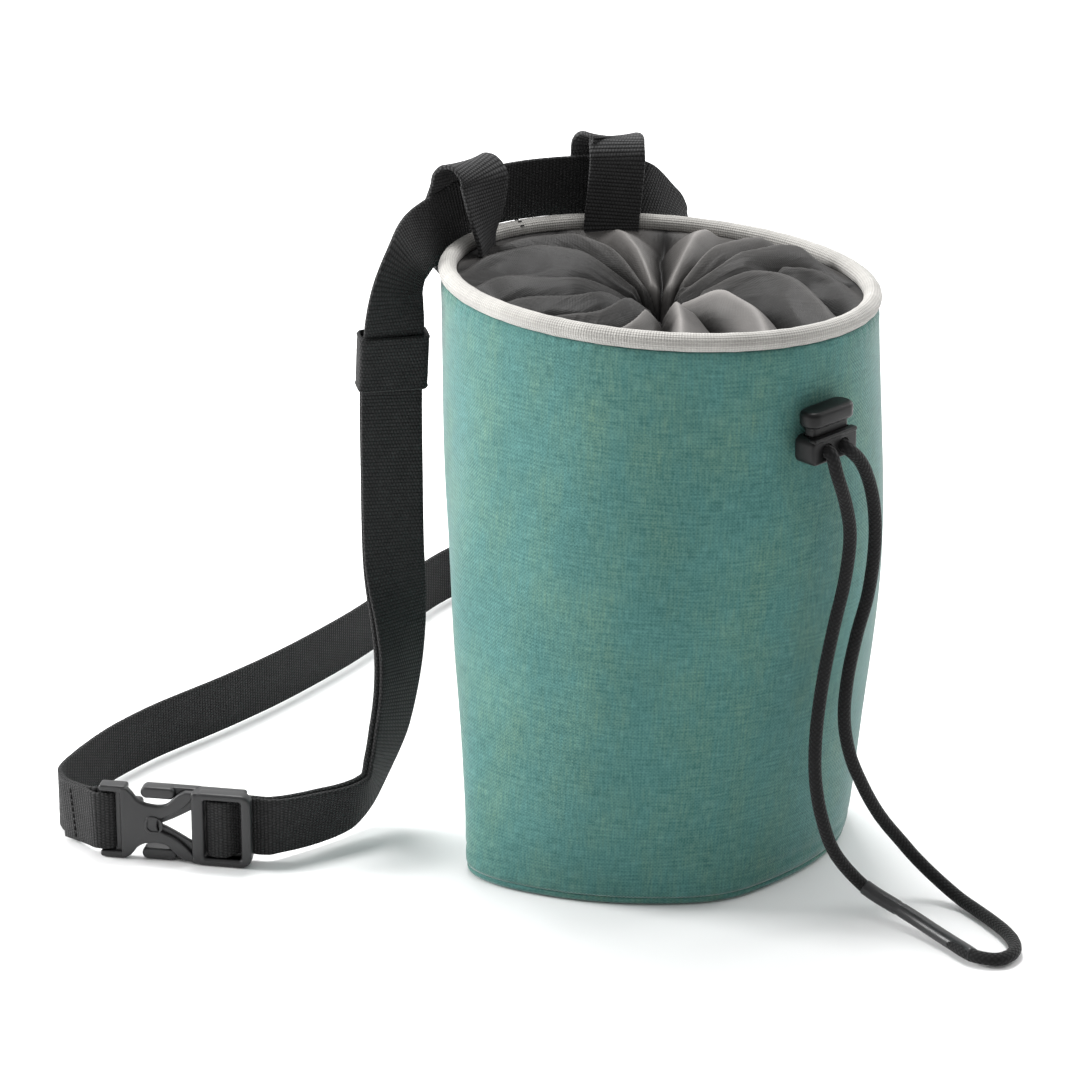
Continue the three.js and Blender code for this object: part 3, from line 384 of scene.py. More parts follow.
def rim_place(around, out=0.0):
    """Places on the piping's centre line, moved outward, and the outward directions there."""
    angle = np.radians(np.asarray(around, float))
    half_width, half_depth = RIM_WIDTH / 2, RIM_DEPTH / 2
    outward = unit_vectors(np.stack([np.cos(angle) / half_width, np.sin(angle) / half_depth, 0 * angle], -1))
    level = RIM_HEIGHT - RIM_DROP_RIGHT * np.cos(angle) - RIM_DROP_BACK * np.sin(angle)
    place = np.stack([half_width * np.cos(angle), half_depth * np.sin(angle), level], -1)
    return place + outward * np.asarray(out)[..., None], outward


def wall_place(around, height, inset, piping):
    """Places on the wall's outer face, in directions from its middle, moved inward by an inset."""
    around, height = np.broadcast_arrays(np.asarray(around, float), np.asarray(height, float))
    rise = height / RIM_HEIGHT
    rim = table_curve(WALL_RISE, WALL_RIM, rise)
    angle = np.radians(around)
    back = np.sin(angle) > 0
    tuck = piping / 2 - WALL_TUCK
    base_depth = np.where(back, BASE_BACK - BASE_MIDDLE, BASE_FRONT + BASE_MIDDLE)
    half_width = BASE_WIDTH / 2 + (RIM_WIDTH / 2 + tuck - BASE_WIDTH / 2) * rim
    depth = base_depth + (RIM_DEPTH / 2 + tuck - base_depth) * rim
    fullness = np.where(back, BACK_FULLNESS, FRONT_FULLNESS)
    fullness = fullness + (2 - fullness) * rim
    spread = np.abs(np.cos(angle) / half_width) ** fullness + np.abs(np.sin(angle) / depth) ** fullness
    reach = spread ** (-1 / fullness) - inset
    for place, width, level, tall, share in WALL_DENTS:
        turn = (around - place + 180) % 360 - 180
        reach = reach + share * RIM_WIDTH * (bell(turn, 0, width) * bell(rise, level, tall)) * (1 - rise)
    return np.stack([reach * np.cos(angle), BASE_MIDDLE * (1 - rim) + reach * np.sin(angle), height], -1)


def add_object(name, data):
    """An object in the scene that holds some data."""
    piece = bpy.data.objects.new(name, data)
    bpy.context.scene.collection.objects.link(piece)
    return piece


def plain_mesh(piece):
    """The mesh that a curve, or a piece with modifiers, comes to."""
    bpy.context.view_layer.update()
    graph = bpy.context.evaluated_depsgraph_get()
    return bpy.data.meshes.new_from_object(piece.evaluated_get(graph))


def finish_mesh(name, verts, faces, corners=None, flat=False):
    """An object from points and faces, with outward faces and a map in metres."""
    mesh = bpy.data.meshes.new(name)
    mesh.from_pydata([tuple(v) for v in verts], [], [tuple(f) for f in faces])
    if corners is not None:
        layer = mesh.uv_layers.new(name="Cloth")
        layer.uv.foreach_set("vector", np.asarray(corners, np.float32).ravel())
    tidy = bmesh.new()
    tidy.from_mesh(mesh)
    bmesh.ops.recalc_face_normals(tidy, faces=tidy.faces)
    tidy.to_mesh(mesh)
    tidy.free()
    mesh.polygons.foreach_set("use_smooth", [not flat] * len(mesh.polygons))
    return add_object(name, mesh)


def lattice(rows, closed=False, caps=False):
    """Points, faces and map corners of a grid whose rows are rings.

    closed joins the last ring to the first, and caps fills both end rings.
    """
    rows = np.asarray(rows, float)
    count, across = rows.shape[:2]
    index = np.arange(count * across).reshape(count, across)
    full = rows
    if closed:
        index, full = np.vstack([index, index[:1]]), np.concatenate([full, full[:1]])
    index, full = np.hstack([index, index[:, :1]]), np.concatenate([full, full[:, :1]], 1)
    faces = np.stack([index[:-1, :-1], index[:-1, 1:], index[1:, 1:], index[1:, :-1]], -1).reshape(-1, 4)
    side = np.concatenate([[0], np.cumsum(np.linalg.norm(np.diff(full, axis=1), axis=2).mean(0))])
    along = np.concatenate([[0], np.cumsum(np.linalg.norm(np.diff(full, axis=0), axis=2).mean(1))])
    uv = np.stack(np.meshgrid(side, along), -1)
    corners = np.stack([uv[:-1, :-1], uv[:-1, 1:], uv[1:, 1:], uv[1:, :-1]], 2).reshape(-1, 2)
    faces = [list(face) for face in faces]
    if caps:
        for row in (index[0, :across], index[-1, :across]):
            faces.append(list(row))
            corners = np.vstack([corners, np.zeros((across, 2))])
    return rows.reshape(-1, 3), faces, corners


def lattice_piece(name, rows, **joined):
    """An object made of one grid of points."""
    return finish_mesh(name, *lattice(rows, **joined))


def merged_piece(name, parts):
    """One object from several lattices."""
    verts, faces, corners = [], [], []
    for part_verts, part_faces, part_corners in parts:
        start = sum(len(v) for v in verts)
        verts.append(part_verts)
        faces += [[i + start for i in face] for face in part_faces]
        corners.append(part_corners)
    return finish_mesh(name, np.vstack(verts), faces, np.vstack(corners))


def tube_rows(path, radii, sides):
    """Rings of points round a path, carried along it without twisting."""
    path = np.asarray(path, float)
    travel = unit_vectors(np.gradient(path, axis=0))
    side = np.cross(travel[0], (0.0, 0.0, 1.0))
    if np.linalg.norm(side) < 0.1:
        side = np.cross(travel[0], (1.0, 0.0, 0.0))
    angles = np.linspace(0, 2 * np.pi, sides, endpoint=False)
    radii = np.broadcast_to(radii, len(path))
    rows = []
    for place, heading, radius in zip(path, travel, radii):
        side = side - heading * (side @ heading)
        side = side / np.linalg.norm(side)
        up = np.cross(heading, side)
        rows.append(place + radius * (np.outer(np.cos(angles), side) + np.outer(np.sin(angles), up)))
    return np.array(rows)


class Socket:
    """A node's output that takes part in arithmetic: each operator adds one Math node."""

    def __init__(self, finish, output):
        self.finish = finish
        self.output = output

    def math(self, operation, *values):
        return self.finish.node("ShaderNodeMath", {"operation": operation}, dict(enumerate(values)))

    def __add__(self, other):
        return self.math("ADD", self, other)

    def __radd__(self, other):
        return self.math("ADD", other, self)

    def __sub__(self, other):
        return self.math("SUBTRACT", self, other)

    def __mul__(self, other):
        return self.math("MULTIPLY", self, other)

    def sine(self):
        return self.math("SINE", self)

    def absolute(self):
        return self.math("ABSOLUTE", self)

    def floor(self):
        return self.math("FLOOR", self)

    def clamped(self):
        return self.math("MINIMUM", self.math("MAXIMUM", self, 0.0), 1.0)


class Finish:
    """A material and the few kinds of node that the bag's finishes are written with."""

    def __init__(self, name, **uniform):
        self.material = bpy.data.materials.new(name)
        self.material.use_nodes = True
        self.tree = self.material.node_tree
        self.shader = self.tree.nodes["Principled BSDF"]
        for key, value in uniform.items():
            self.shader.inputs[key.replace("_", " ")].default_value = value

    @classmethod
    def on_tree(cls, tree):
        """The same helper for a node tree that is there already."""
        finish = cls.__new__(cls)
        finish.tree = tree
        return finish

    def node(self, kind, settings=None, values=None, output=0):
        """Adds a node: its settings first, then the values or links of its sockets."""
        made = self.tree.nodes.new(kind)
        for key, value in (settings or {}).items():
            setattr(made, key, value)
        for key, value in (values or {}).items():
            if isinstance(value, Socket):
                self.tree.links.new(value.output, made.inputs[key])
            else:
                made.inputs[key].default_value = value
        return Socket(self, made.outputs[output])

    def cloth_map(self):
        """The piece's own map, in metres across and along."""
        place = self.node("ShaderNodeUVMap", {"uv_map": "Cloth"})
        parts = self.node("ShaderNodeSeparateXYZ", values={0: place})
        return parts, Socket(self, parts.output.node.outputs[1])

    def noise(self, vector, scale, detail, roughness):
        """Soft noise from 0 to 1."""
        return self.node("ShaderNodeTexNoise", values={
            "Vector": vector, "Scale": scale, "Detail": detail, "Roughness": roughness})

    def flat_noise(self, across, along, detail, roughness):
        """Noise over a piece's map, as fine each way as its two numbers grow."""
        cell = self.node("ShaderNodeCombineXYZ", values={0: across, 1: along})
        return self.noise(cell, 1.0, detail, roughness)

    def solid_noise(self, scale, detail, roughness):
        """Noise in a piece's own coordinates."""
        return self.noise(self.node("ShaderNodeTexCoord", output=3), scale, detail, roughness)

    def blend(self, share, first, second, kind="MIX"):
        """A colour between two others."""
        return self.node("ShaderNodeMix", {"data_type": "RGBA", "blend_type": kind},
                         {0: share, 6: first, 7: second}, output=2)

    def complete(self, colour, roughness, height, distance, strength):
        """Feeds the shader its colour, its roughness and the normal of a height, and gives the material."""
        normal = self.node("ShaderNodeBump", values={
            "Height": height, "Distance": distance, "Strength": strength})
        for name, value in (("Base Color", colour), ("Roughness", roughness), ("Normal", normal)):
            self.tree.links.new(value.output, self.shader.inputs[name])
        return self.material


def rgba(colour, light=1.0):
    """A colour with full alpha, made lighter or darker."""
    return tuple(min(1.0, c * light) for c in colour) + (1.0,)


def heathered_weave(name, look):
    """Plain weave of light and dark yarns that vary along their length."""
    finish = Finish(name, Roughness=0.86, Sheen_Weight=0.5, Sheen_Roughness=0.35, Specular_IOR_Level=0.2)
    across, along = finish.cloth_map()
    turn = math.pi / look.yarn_pitch
    warp = (across * turn).sine()
    weft = (along * turn).sine()
    weave = warp * weft * 0.5 + 0.5
    streaks = finish.flat_noise(across * 160.0, along * 1500.0, 3.0, 0.65)
    strands = finish.flat_noise(across * 1700.0, along * 220.0, 3.0, 0.65)
    patches = finish.flat_noise(across * 26.0, along * 30.0, 2.0, 0.5)
    tone = (streaks * 1.5 + strands * 1.4 + patches * 0.5 + weave * 0.30 - 1.40).clamped()
    cool = finish.blend(tone, rgba(look.weave_dark), rgba(look.weave_light))
    fleck = finish.blend(tone, rgba(look.weave_dark), rgba(look.weave_fleck))
    drift = finish.flat_noise(across * 75.0, along * 32.0, 3.0, 0.6)
    slubs = finish.flat_noise(across * 1500.0, along * 95.0, 2.0, 0.5)
    colour = finish.blend((drift * 2.4 + slubs * 1.2 - 1.55).clamped(), cool, fleck)
    height = weave * 0.7 + streaks * 0.5 + strands * 0.5
    return finish.complete(colour, 0.80 + tone * 0.12, height, 0.00022, 0.55)


def bias_cloth(name, look):
    """Cut-on-the-bias cover of the piping: fine diagonal yarns and small puckers."""
    finish = Finish(name, Roughness=0.82, Sheen_Weight=0.25, Sheen_Roughness=0.5, Specular_IOR_Level=0.3)
    across, along = finish.cloth_map()
    first = ((across + along) * 4300.0).sine()
    second = ((across - along) * 4300.0).sine()
    yarns = first * second * 0.5 + 0.5
    pucker = finish.flat_noise(across * 330.0, along * 60.0, 2.0, 0.5)
    soil = finish.solid_noise(55.0, 3.0, 0.6)
    tone = (soil * 0.9 + yarns * 0.45 + pucker * 0.35 - 0.5).clamped()
    colour = finish.blend(tone, rgba(look.piping_colour, 0.66), rgba(look.piping_colour, 1.22))
    return finish.complete(colour, 0.76 + soil * 0.14, yarns * 0.6 + pucker * 1.1, 0.0004, 0.8)


def thin_nylon(name, look):
    """Tightly woven nylon with fine creases, its colour multiplied by the light and shade painted on the
    mesh along the folds: lighter and darker folds, painted shade in the creases and painted highlights on
    the crests.
    """
    finish = Finish(name, Roughness=0.5, Specular_IOR_Level=0.25)
    across, along = finish.cloth_map()
    weave = (across * 9000.0).sine() * (along * 9000.0).sine()
    creases = finish.solid_noise(130.0, 4.0, 0.6)
    fine = finish.flat_noise(across * 330.0, along * 45.0, 3.0, 0.55)
    chalk = (finish.solid_noise(38.0, 4.0, 0.6) * 2.2 - 0.85).clamped()
    colour = finish.blend(chalk, rgba(look.nylon_colour, 0.85), rgba(look.nylon_colour, 1.35))
    # Painted fold light and shade, read from the mesh
    tone = finish.node("ShaderNodeAttribute", {"attribute_name": "painted_fold_shading"}, output=2)
    shade = finish.node("ShaderNodeCombineColor", values={0: tone, 1: tone, 2: tone})
    colour = finish.blend(1.0, colour, shade, "MULTIPLY")
    height = weave * 0.05 + creases * 0.5 + fine * 0.7
    return finish.complete(colour, 0.42 + creases * 0.18, height, 0.0008, 0.7)


def ribbed_webbing(name, look, colour, checks=0.5, light=1.0):
    """Woven webbing: cross ribs that the warp yarns break into small checks."""
    finish = Finish(name, Roughness=0.82, Sheen_Weight=0.04, Sheen_Roughness=0.4, Specular_IOR_Level=0.2)
    across, along = finish.cloth_map()
    row = along * (1 / look.rib_pitch)
    column = across * (1 / (look.rib_pitch * 0.82))
    ribs = (row * math.pi).sine().absolute()
    warps = ((column + row.floor() * 0.5) * math.pi).sine().absolute()
    height = ribs * (1.0 - checks) + ribs * warps * checks
    wear = finish.flat_noise(across * 240.0, along * 240.0, 3.0, 0.6)
    fuzz = finish.flat_noise(across * 2600.0, along * 900.0, 2.0, 0.6)
    tone = (height * 0.55 + wear * 0.35 + fuzz * 0.35 - 0.2).clamped()
    colour = finish.blend(tone, rgba(colour, 0.35 * light), rgba(colour, 3.8 * light))
    return finish.complete(colour, 0.70 + fuzz * 0.2, height + fuzz * 0.25, 0.00032, 0.9)


def moulded_plastic(name, look, gloss=0.42, depth=1.0):
    """Acetal with a fine spark-eroded grain and slightly rubbed faces."""
    finish = Finish(name, Roughness=gloss, Specular_IOR_Level=0.2 + 0.25 * depth)
    grain = finish.solid_noise(5200.0, 2.0, 0.6)
    rubbed = finish.solid_noise(240.0, 4.0, 0.6)
    tone = (rubbed * 0.8 - 0.05).clamped()
    dark, pale = (rgba(look.plastic_colour, share * depth) for share in (0.75, 1.25))
    colour = finish.blend(tone, dark, pale)
    return finish.complete(colour, (gloss - 0.08) + rubbed * 0.18, grain * 0.5 + rubbed * 0.2, 0.00006, 0.5)


def braided_cord(name, look):
    """Braid: strands that cross each other both ways round the cord."""
    finish = Finish(name, Roughness=0.82, Sheen_Weight=0.08, Sheen_Roughness=0.45, Specular_IOR_Level=0.25)
    across, along = finish.cloth_map()
    turn = look.braid_strands / look.cord_diameter
    first = ((across + along) * turn).sine().absolute()
    second = ((across - along) * turn).sine().absolute()
    strands = first * second
    fuzz = finish.flat_noise(across * 2400.0, along * 2400.0, 3.0, 0.6)
    tone = (strands * 0.7 + fuzz * 0.5 - 0.25).clamped()
    colour = finish.blend(tone, rgba(look.cord_colour, 0.6), rgba(look.cord_colour, 2.0))
    return finish.complete(colour, 0.72 + fuzz * 0.16, strands + fuzz * 0.3, 0.00022, 0.7)


def wear_slot(piece, body, slot, material, *nodes):
    """Puts a piece on its body in place of its solids, with its finish."""
    piece.data.materials.clear()
    piece.data.materials.append(material)
    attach(piece, body)
    if nodes:
        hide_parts(*nodes)
    return piece


def dress(name, rows, slot, material, *nodes, **joined):
    """A piece made of one grid of points, on the bag in place of its solids."""
    return wear_slot(lattice_piece(name, rows, **joined), "bag", slot, material, *nodes)


def ribbon_faces(stations):
    """Places, squared edge directions and face directions of a flat band's stations."""
    places = np.array([place for place, _ in stations], float)
    edges = np.array([edge for _, edge in stations], float)
    travel = np.zeros_like(places)
    travel[1:-1] = places[2:] - places[:-2]
    travel[0] = places[1] - places[0]
    travel[-1] = places[-1] - places[-2]
    travel = unit_vectors(travel)
    edges = unit_vectors(edges - travel * np.sum(edges * travel, 1, keepdims=True))
    return places, edges, np.cross(edges, travel)


def webbing_section(width, thickness):
    """Section of woven webbing: flat faces, rounded selvedges with a slight bead."""
    half, deep = width / 2, thickness / 2
    flat = 0.955
    across = np.linspace(-flat, flat, 11)
    bead = 1 - 0.10 * np.cos(across / flat * math.pi / 2) ** 0.5
    upper = [(half * a, -deep * b) for a, b in zip(across, bead)]
    angles = np.radians([-60, -30, 0, 30, 60])
    turn = [(half * (flat + 0.045 * math.cos(angle)), deep * math.sin(angle)) for angle in angles]
    lower = [(-a, -b) for a, b in upper]
    back_turn = [(-a, -b) for a, b in turn]
    return np.array(upper + turn + lower + back_turn)


def ribbon_rows(places, edges, faces, section):
    """Rings of a flat band swept along its stations."""
    return (places[:, None] + edges[:, None] * section[None, :, :1] + faces[:, None] * section[None, :, 1:])


def band_stations(stations, steps):
    """A smooth run of stations through few ones."""
    places = smooth_route([place for place, _ in stations], steps)
    edges = smooth_route([edge for _, edge in stations], steps)
    return list(zip(places, unit_vectors(edges)))


def stitch_run(start, end, outward, pitch, radius):
    """Short sewn stitches between two points, as small flattened loops of thread."""
    start, end, outward = (np.array(v, float) for v in (start, end, outward))
    length = np.linalg.norm(end - start)
    count = max(2, int(round(length / pitch)))
    heading = (end - start) / length
    parts = []
    for i in range(count):
        middle = start + heading * length * (i + 0.5) / count
        reach = 0.40 * length / count
        spine = [middle + heading * reach * share + outward * radius * (0.8 - 1.3 * share * share)
                 for share in np.linspace(-1, 1, 7)]
        widths = radius * np.array([0.35, 0.8, 1, 1.05, 1, 0.8, 0.35])
        parts.append(lattice(tube_rows(spine, widths, 6), caps=True))
    return parts


def buckle_frame():
    """Matrix of the buckle's plane: along it, up, and out of its face."""
    along = Vector((math.cos(BUCKLE_HEADING), math.sin(BUCKLE_HEADING), 0))
    front = Vector((along.y, -along.x, 0))
    across, back = BUCKLE_PLACE
    start = Vector((across * RIM_WIDTH / 2, back * RIM_DEPTH / 2, BUCKLE_HEIGHT / 2))
    return Matrix((
        (along.x, 0, front.x, start.x),
        (along.y, 0, front.y, start.y),
        (0, 1, 0, start.z),
        (0, 0, 0, 1),
    ))


def buckle_station(along, front):
    """Station of the belt where it passes through the buckle."""
    place = buckle_frame() @ Vector((along, 0, front))
    return np.array(place), np.array((0, 0, -1.0))


def belt_stations(strap):
    """Stations of the belt's sewn end, its whole loop and its run through the buckle."""
    turn = BUCKLE_BAR_THICKNESS / 2 + GAP + strap.belt_thickness / 2
    layers = strap.belt_thickness + GAP
    behind = -BUCKLE_THICKNESS / 6 - GAP - strap.belt_thickness / 2

    def half_turn(middle, direction):
        angles = np.radians([90, 60, 30, 0, -30, -60, -90])
        return [buckle_station(middle + direction * turn * math.cos(a), turn * math.sin(a)) for a in angles]

    def sewn(away, layer):
        heading = math.radians(SEWN_HEADING)
        place, edge = buckle_station(-BUCKLE_BAR, 0)
        place = place + away * np.array((math.cos(heading), math.sin(heading), 0))
        place = place + layer * layers / 2 * np.array((-math.sin(heading), math.cos(heading), 0))
        share = away / SEWN_FLAP
        place[2] = place[2] + (strap.belt_width / 2 + BELT_LIFT - place[2]) * share
        return place, edge

    def row(side, back, lift, *edge):
        edge = np.array(edge) / np.linalg.norm(edge)
        level = lift * RIM_HEIGHT + abs(edge[2]) * strap.belt_width / 2
        return np.array((side * RIM_WIDTH / 2, back * RIM_DEPTH / 2, level)), edge

    rim_run = []
    for around, clear in RIM_RUN:
        place, _ = rim_place(around, PIPING_RADIUS + clear * BELT_OUT + strap.belt_thickness / 2)
        rim_run.append((place + np.array((0, 0, BELT_SEAT + strap.belt_width / 2)), np.array((0, 0, -1.0))))
    sewn_end = [sewn(SEWN_FLAP, 1), sewn(SEWN_FLAP / 2, 1), sewn(SEWN_FLAP / 5, 1),
                buckle_station(-BUCKLE_BAR / 2, turn), *half_turn(BUCKLE_BAR - GAP, 1),
                buckle_station(-BUCKLE_BAR / 2, -turn)]
    whole = band_stations([
        sewn(SEWN_FLAP / 5, -1), sewn(SEWN_FLAP, -1),
        *[row(side, back, FLOOR_LIFT, 0, 0, -1) for side, back in FLOOR_RUN],
        *[row(*values) for values in BELT_RISE],
        *rim_run,
        *[row(*values) for values in BELT_DROP],
        buckle_station(BUCKLE_LENGTH + 2 * BUCKLE_BAR, behind),
    ], 2)
    ladder = [buckle_station(END_BAR, behind),
              buckle_station(LADDER_END + (END_BAR - LADDER_END) * 0.55, behind + GAP * 3),
              buckle_station(LADDER_END + 2 * GAP, turn - GAP / 2),
              *half_turn(LADDER_BAR + GAP, -1),
              buckle_station(LADDER_END + GAP * 3, -turn - GAP),
              buckle_station(END_BAR + GAP * 2, behind - layers)]
    return sewn_end, whole, ladder


def tail_stations(whole, strap):
    """The tail lies behind the belt, from the ladder bar up to the keeper."""
    places, edges, faces = ribbon_faces(whole)
    over = KEEPER_LEVEL * RIM_HEIGHT + TAIL_OVER_KEEPER
    top = max(i for i, place in enumerate(places) if place[2] > over)
    chosen = list(range(top + 1, len(places)))[::-1]
    layers = strap.belt_thickness + GAP
    stations = []
    for i, n in enumerate(chosen):
        sideways = TAIL_SHIFT * math.sin(math.pi * i / (len(chosen) - 1))
        stations.append((places[n] + faces[n] * layers - edges[n] * sideways, edges[n]))
    return stations


def rounded_outline(left, bottom, right, top, radius, steps=6):
    """Corners of a rectangle rounded with arcs."""
    points = []
    for x, y, start in ((right, bottom, -90), (right, top, 0), (left, top, 90), (left, bottom, 180)):
        middle_x = x - radius if x == right else x + radius
        middle_y = y - radius if y == top else y + radius
        for i in range(steps + 1):
            angle = math.radians(start + 90 * i / steps)
            points.append((middle_x + radius * math.cos(angle), middle_y + radius * math.sin(angle)))
    return points


def mirrored_outline(points):
    """An outline from its upper half, run from left to right, and its mirror image below."""
    return [*points, *[(x, -y) for x, y in reversed(points) if abs(y) > 1e-7]]


def round_hole(x, y, radius, steps=28):
    """A circle as an outline."""
    return [(x + radius * math.cos(2 * math.pi * i / steps), y + radius * math.sin(2 * math.pi * i / steps))
            for i in range(steps)]


def moulded_plate(outlines, back, front, rounding):
    """Mesh of an outline given a thickness, with rounded edges on both faces; later outlines are holes."""
    curve = bpy.data.curves.new("plate", "CURVE")
    curve.dimensions = "2D"
    curve.fill_mode = "BOTH"
    curve.extrude = max((front - back) / 2 - rounding, 1e-6)
    curve.bevel_depth = rounding
    curve.bevel_resolution = 3
    curve.offset = -rounding
    for outline in outlines:
        spline = curve.splines.new("POLY")
        spline.points.add(len(outline) - 1)
        for point, (x, y) in zip(spline.points, outline):
            point.co = (x, y, 0, 1)
        spline.use_cyclic_u = True
    holder = add_object("plate", curve)
    mesh = plain_mesh(holder)
    mesh.transform(Matrix.Translation((0, 0, (front + back) / 2)))
    bpy.data.objects.remove(holder)
    bpy.data.curves.remove(curve)
    return mesh


def slab(left, bottom, right, top, corner, back, front, rounding, *holes):
    """Mesh of one rounded rectangle given a thickness."""
    return moulded_plate([rounded_outline(left, bottom, right, top, corner), *holes], back, front, rounding)


def plates_piece(name, meshes, matrix):
    """One object from several moulded plates, set in its place."""
    joined = bmesh.new()
    for mesh in meshes:
        joined.from_mesh(mesh)
        bpy.data.meshes.remove(mesh)
    bmesh.ops.remove_doubles(joined, verts=joined.verts, dist=1e-6)
    bmesh.ops.recalc_face_normals(joined, faces=joined.faces)
    bmesh.ops.transform(joined, matrix=matrix, verts=joined.verts)
    mesh = bpy.data.meshes.new(name)
    joined.to_mesh(mesh)
    joined.free()
    mesh.polygons.foreach_set("use_smooth", [True] * len(mesh.polygons))
    mesh.set_sharp_from_angle(angle=SHARP_EDGE)
    return add_object(name, mesh)


def carve(piece, cutters):
    """Cuts other closed shapes out of a piece and leaves plain geometry."""
    for cutter in cutters:
        cut = piece.modifiers.new("cut", "BOOLEAN")
        cut.operation = "DIFFERENCE"
        cut.solver = "EXACT"
        cut.use_self = True
        cut.object = cutter
    carved = plain_mesh(piece)
    piece.modifiers.clear()
    piece.data = carved
    carved.set_sharp_from_angle(angle=SHARP_EDGE)
    for cutter in cutters:
        bpy.data.objects.remove(cutter)


def arc_points(points, steps=5):
    """A smooth line through few points of an outline, given in millimetres."""
    run = smooth_route([(x, y, 0.0) for x, y in points], steps)[:, :2]
    return [tuple(place * MILLIMETRE) for place in run]


def lock_face(piping):
    """Level from front to back of the cord lock's rear face."""
    return wall_place(LOCK_DIRECTION, LOCK_LEVEL + LOCK_HEIGHT / 2, 0, piping)[1] - GAP - LOCK_CLEARANCE


class CHALKBAG_OT_camera(bpy.types.Operator):
    """Set the camera at the photograph's angle"""

    bl_idname = "chalkbag.camera"
    bl_label = "Camera"

    def execute(self, context):
        lens = bpy.data.cameras.new("camera")
        lens.sensor_width = 36
        lens.lens = CAMERA_LENS
        lens.clip_start = 0.05
        lens.clip_end = 20
        camera = add_object("camera", lens)
        right = Vector((0.70711, -0.70711, 0))
        pitch = math.radians(CAMERA_PITCH)
        forward = Vector((0.70711 * math.cos(pitch), 0.70711 * math.cos(pitch), -math.sin(pitch)))
        up = right.cross(forward)
        turned = Matrix((right, up, -forward)).transposed().to_4x4()
        camera.matrix_world = Matrix.Translation(CAMERA_PLACE) @ turned
        context.scene.camera = camera
        return {"FINISHED"}


class CHALKBAG_OT_drawcord(bpy.types.Operator):
    """Lay the braided drawcord and the tube that joins its ends"""

    bl_idname = "chalkbag.drawcord"
    bl_label = "Drawcord"

    def execute(self, context):
        cloth, hardware = context.scene.chalk_cloth, context.scene.chalk_hardware
        level = LOCK_LEVEL + LOCK_HEIGHT * HOLE_LEVEL
        front = lock_face(cloth.piping_diameter) - LOCK_DEPTH
        left, right = (
            [(across, front + out, level + up) for out, up in ((0.003, 0), (0.0008, 0), (-0.0012, -0.0006))]
            for across in (LOCK_ACROSS - CORD_SPACING / 2, LOCK_ACROSS + CORD_SPACING / 2))
        path = smooth_route([*left, *CORD_LEFT, *CORD_JOINER, *reversed([*right, *CORD_RIGHT])], 9)
        radius = hardware.cord_diameter / 2
        braid = braided_cord("braided cord", hardware)
        cord = dress("drawcord_braid", tube_rows(path, radius, 20), "cord", braid,
                     "drawcord_left", "drawcord_right", caps=True)

        line = smooth_route(CORD_JOINER, 12)
        share = np.linspace(0, 1, len(line))
        taper = smooth_step(-0.01, 0.03, np.minimum(share, 1 - share))
        notch = bell(share, 0.44, 0.012)
        radii = hardware.joiner_diameter / 2 * (0.93 + 0.07 * taper)
        radii = radii - 0.00022 * notch - 0.00008 * (share > 0.44)
        outer = tube_rows(line, radii, 24)
        inner = tube_rows(line, radius * 0.98, 24)
        tube = dress("cord_joiner_tube", np.concatenate([outer, inner[::-1]]), "plastic",
                     moulded_plastic("joiner tube", hardware, 0.34), "cord_joiner", closed=True)
        return {"FINISHED"}


class CHALKBAG_OT_wall(bpy.types.Operator):
    """Make the heathered wall and the base panel"""

    bl_idname = "chalkbag.wall"
    bl_label = "Wall and base"

    def execute(self, context):
        look = context.scene.chalk_cloth
        around = np.linspace(0, 360, 280, endpoint=False)
        top = rim_place(around)[0][:, 2] - look.piping_diameter / 2
        bottom = BASE_THICKNESS + GAP
        angle = np.radians(around)
        outside = []
        for share in (*np.linspace(0, 0.03, 6), *np.linspace(0.04, 0.96, 84), *np.linspace(0.968, 1, 8)):
            height = bottom + (top - bottom) * share
            seam = 0.0005 * bell(share, 0, 0.004) + 0.00035 * bell(share, 0.03, 0.005)
            tucked = 0.0005 * bell(share, 1, 0.008)
            soft = 0.00022 * np.sin(5 * angle + 7 * share) + 0.00016 * np.sin(11 * angle - 9 * share + 1.3)
            pucker = 0.00016 * np.sin(95 * angle) * bell(share, 1, 0.025)
            inset = seam + tucked - soft * math.sin(math.pi * share) - pucker
            outside.append(wall_place(around, height, inset, look.piping_diameter))
        tip = rim_place(around, 0.0004)[0]
        tip[:, 2] = tip[:, 2] - look.piping_diameter / 2 + 0.0004
        heights = bottom + (top - bottom) * np.linspace(1, 0, 30)[:, None]
        inside = wall_place(around[None, :], heights, look.wall_thickness, look.piping_diameter)
        weave = heathered_weave("heathered weave", look)
        rows = np.array([*outside, tip, *inside])
        dress("woven_wall", rows, "woven_fabric", weave, "side_wall", closed=True)

        rings = []
        for height, inset in ((0, 0.0019), (0.0002, 0.0012), (0.0007, 0.0007),
                              (0.0013, 0.0004), (0.0019, 0.0004), (0.0023, 0.0008)):
            ring = wall_place(around, BASE_THICKNESS, inset, look.piping_diameter)
            ring[:, 2] = height
            rings.append(ring)
        centre = np.array((0, BASE_MIDDLE, 0))
        under = [rings[0] * share + centre * (1 - share) for share in (0.02, 0.3, 0.6, 0.85, 0.95)]
        over = [rings[-1] * share + (centre + (0, 0, rings[-1][0, 2])) * (1 - share)
                for share in (0.95, 0.6, 0.3, 0.02)]
        rows = np.array([*under, *rings, *over])
        dress("base_cloth", rows, "woven_fabric", weave, "base_panel", caps=True)
        return {"FINISHED"}


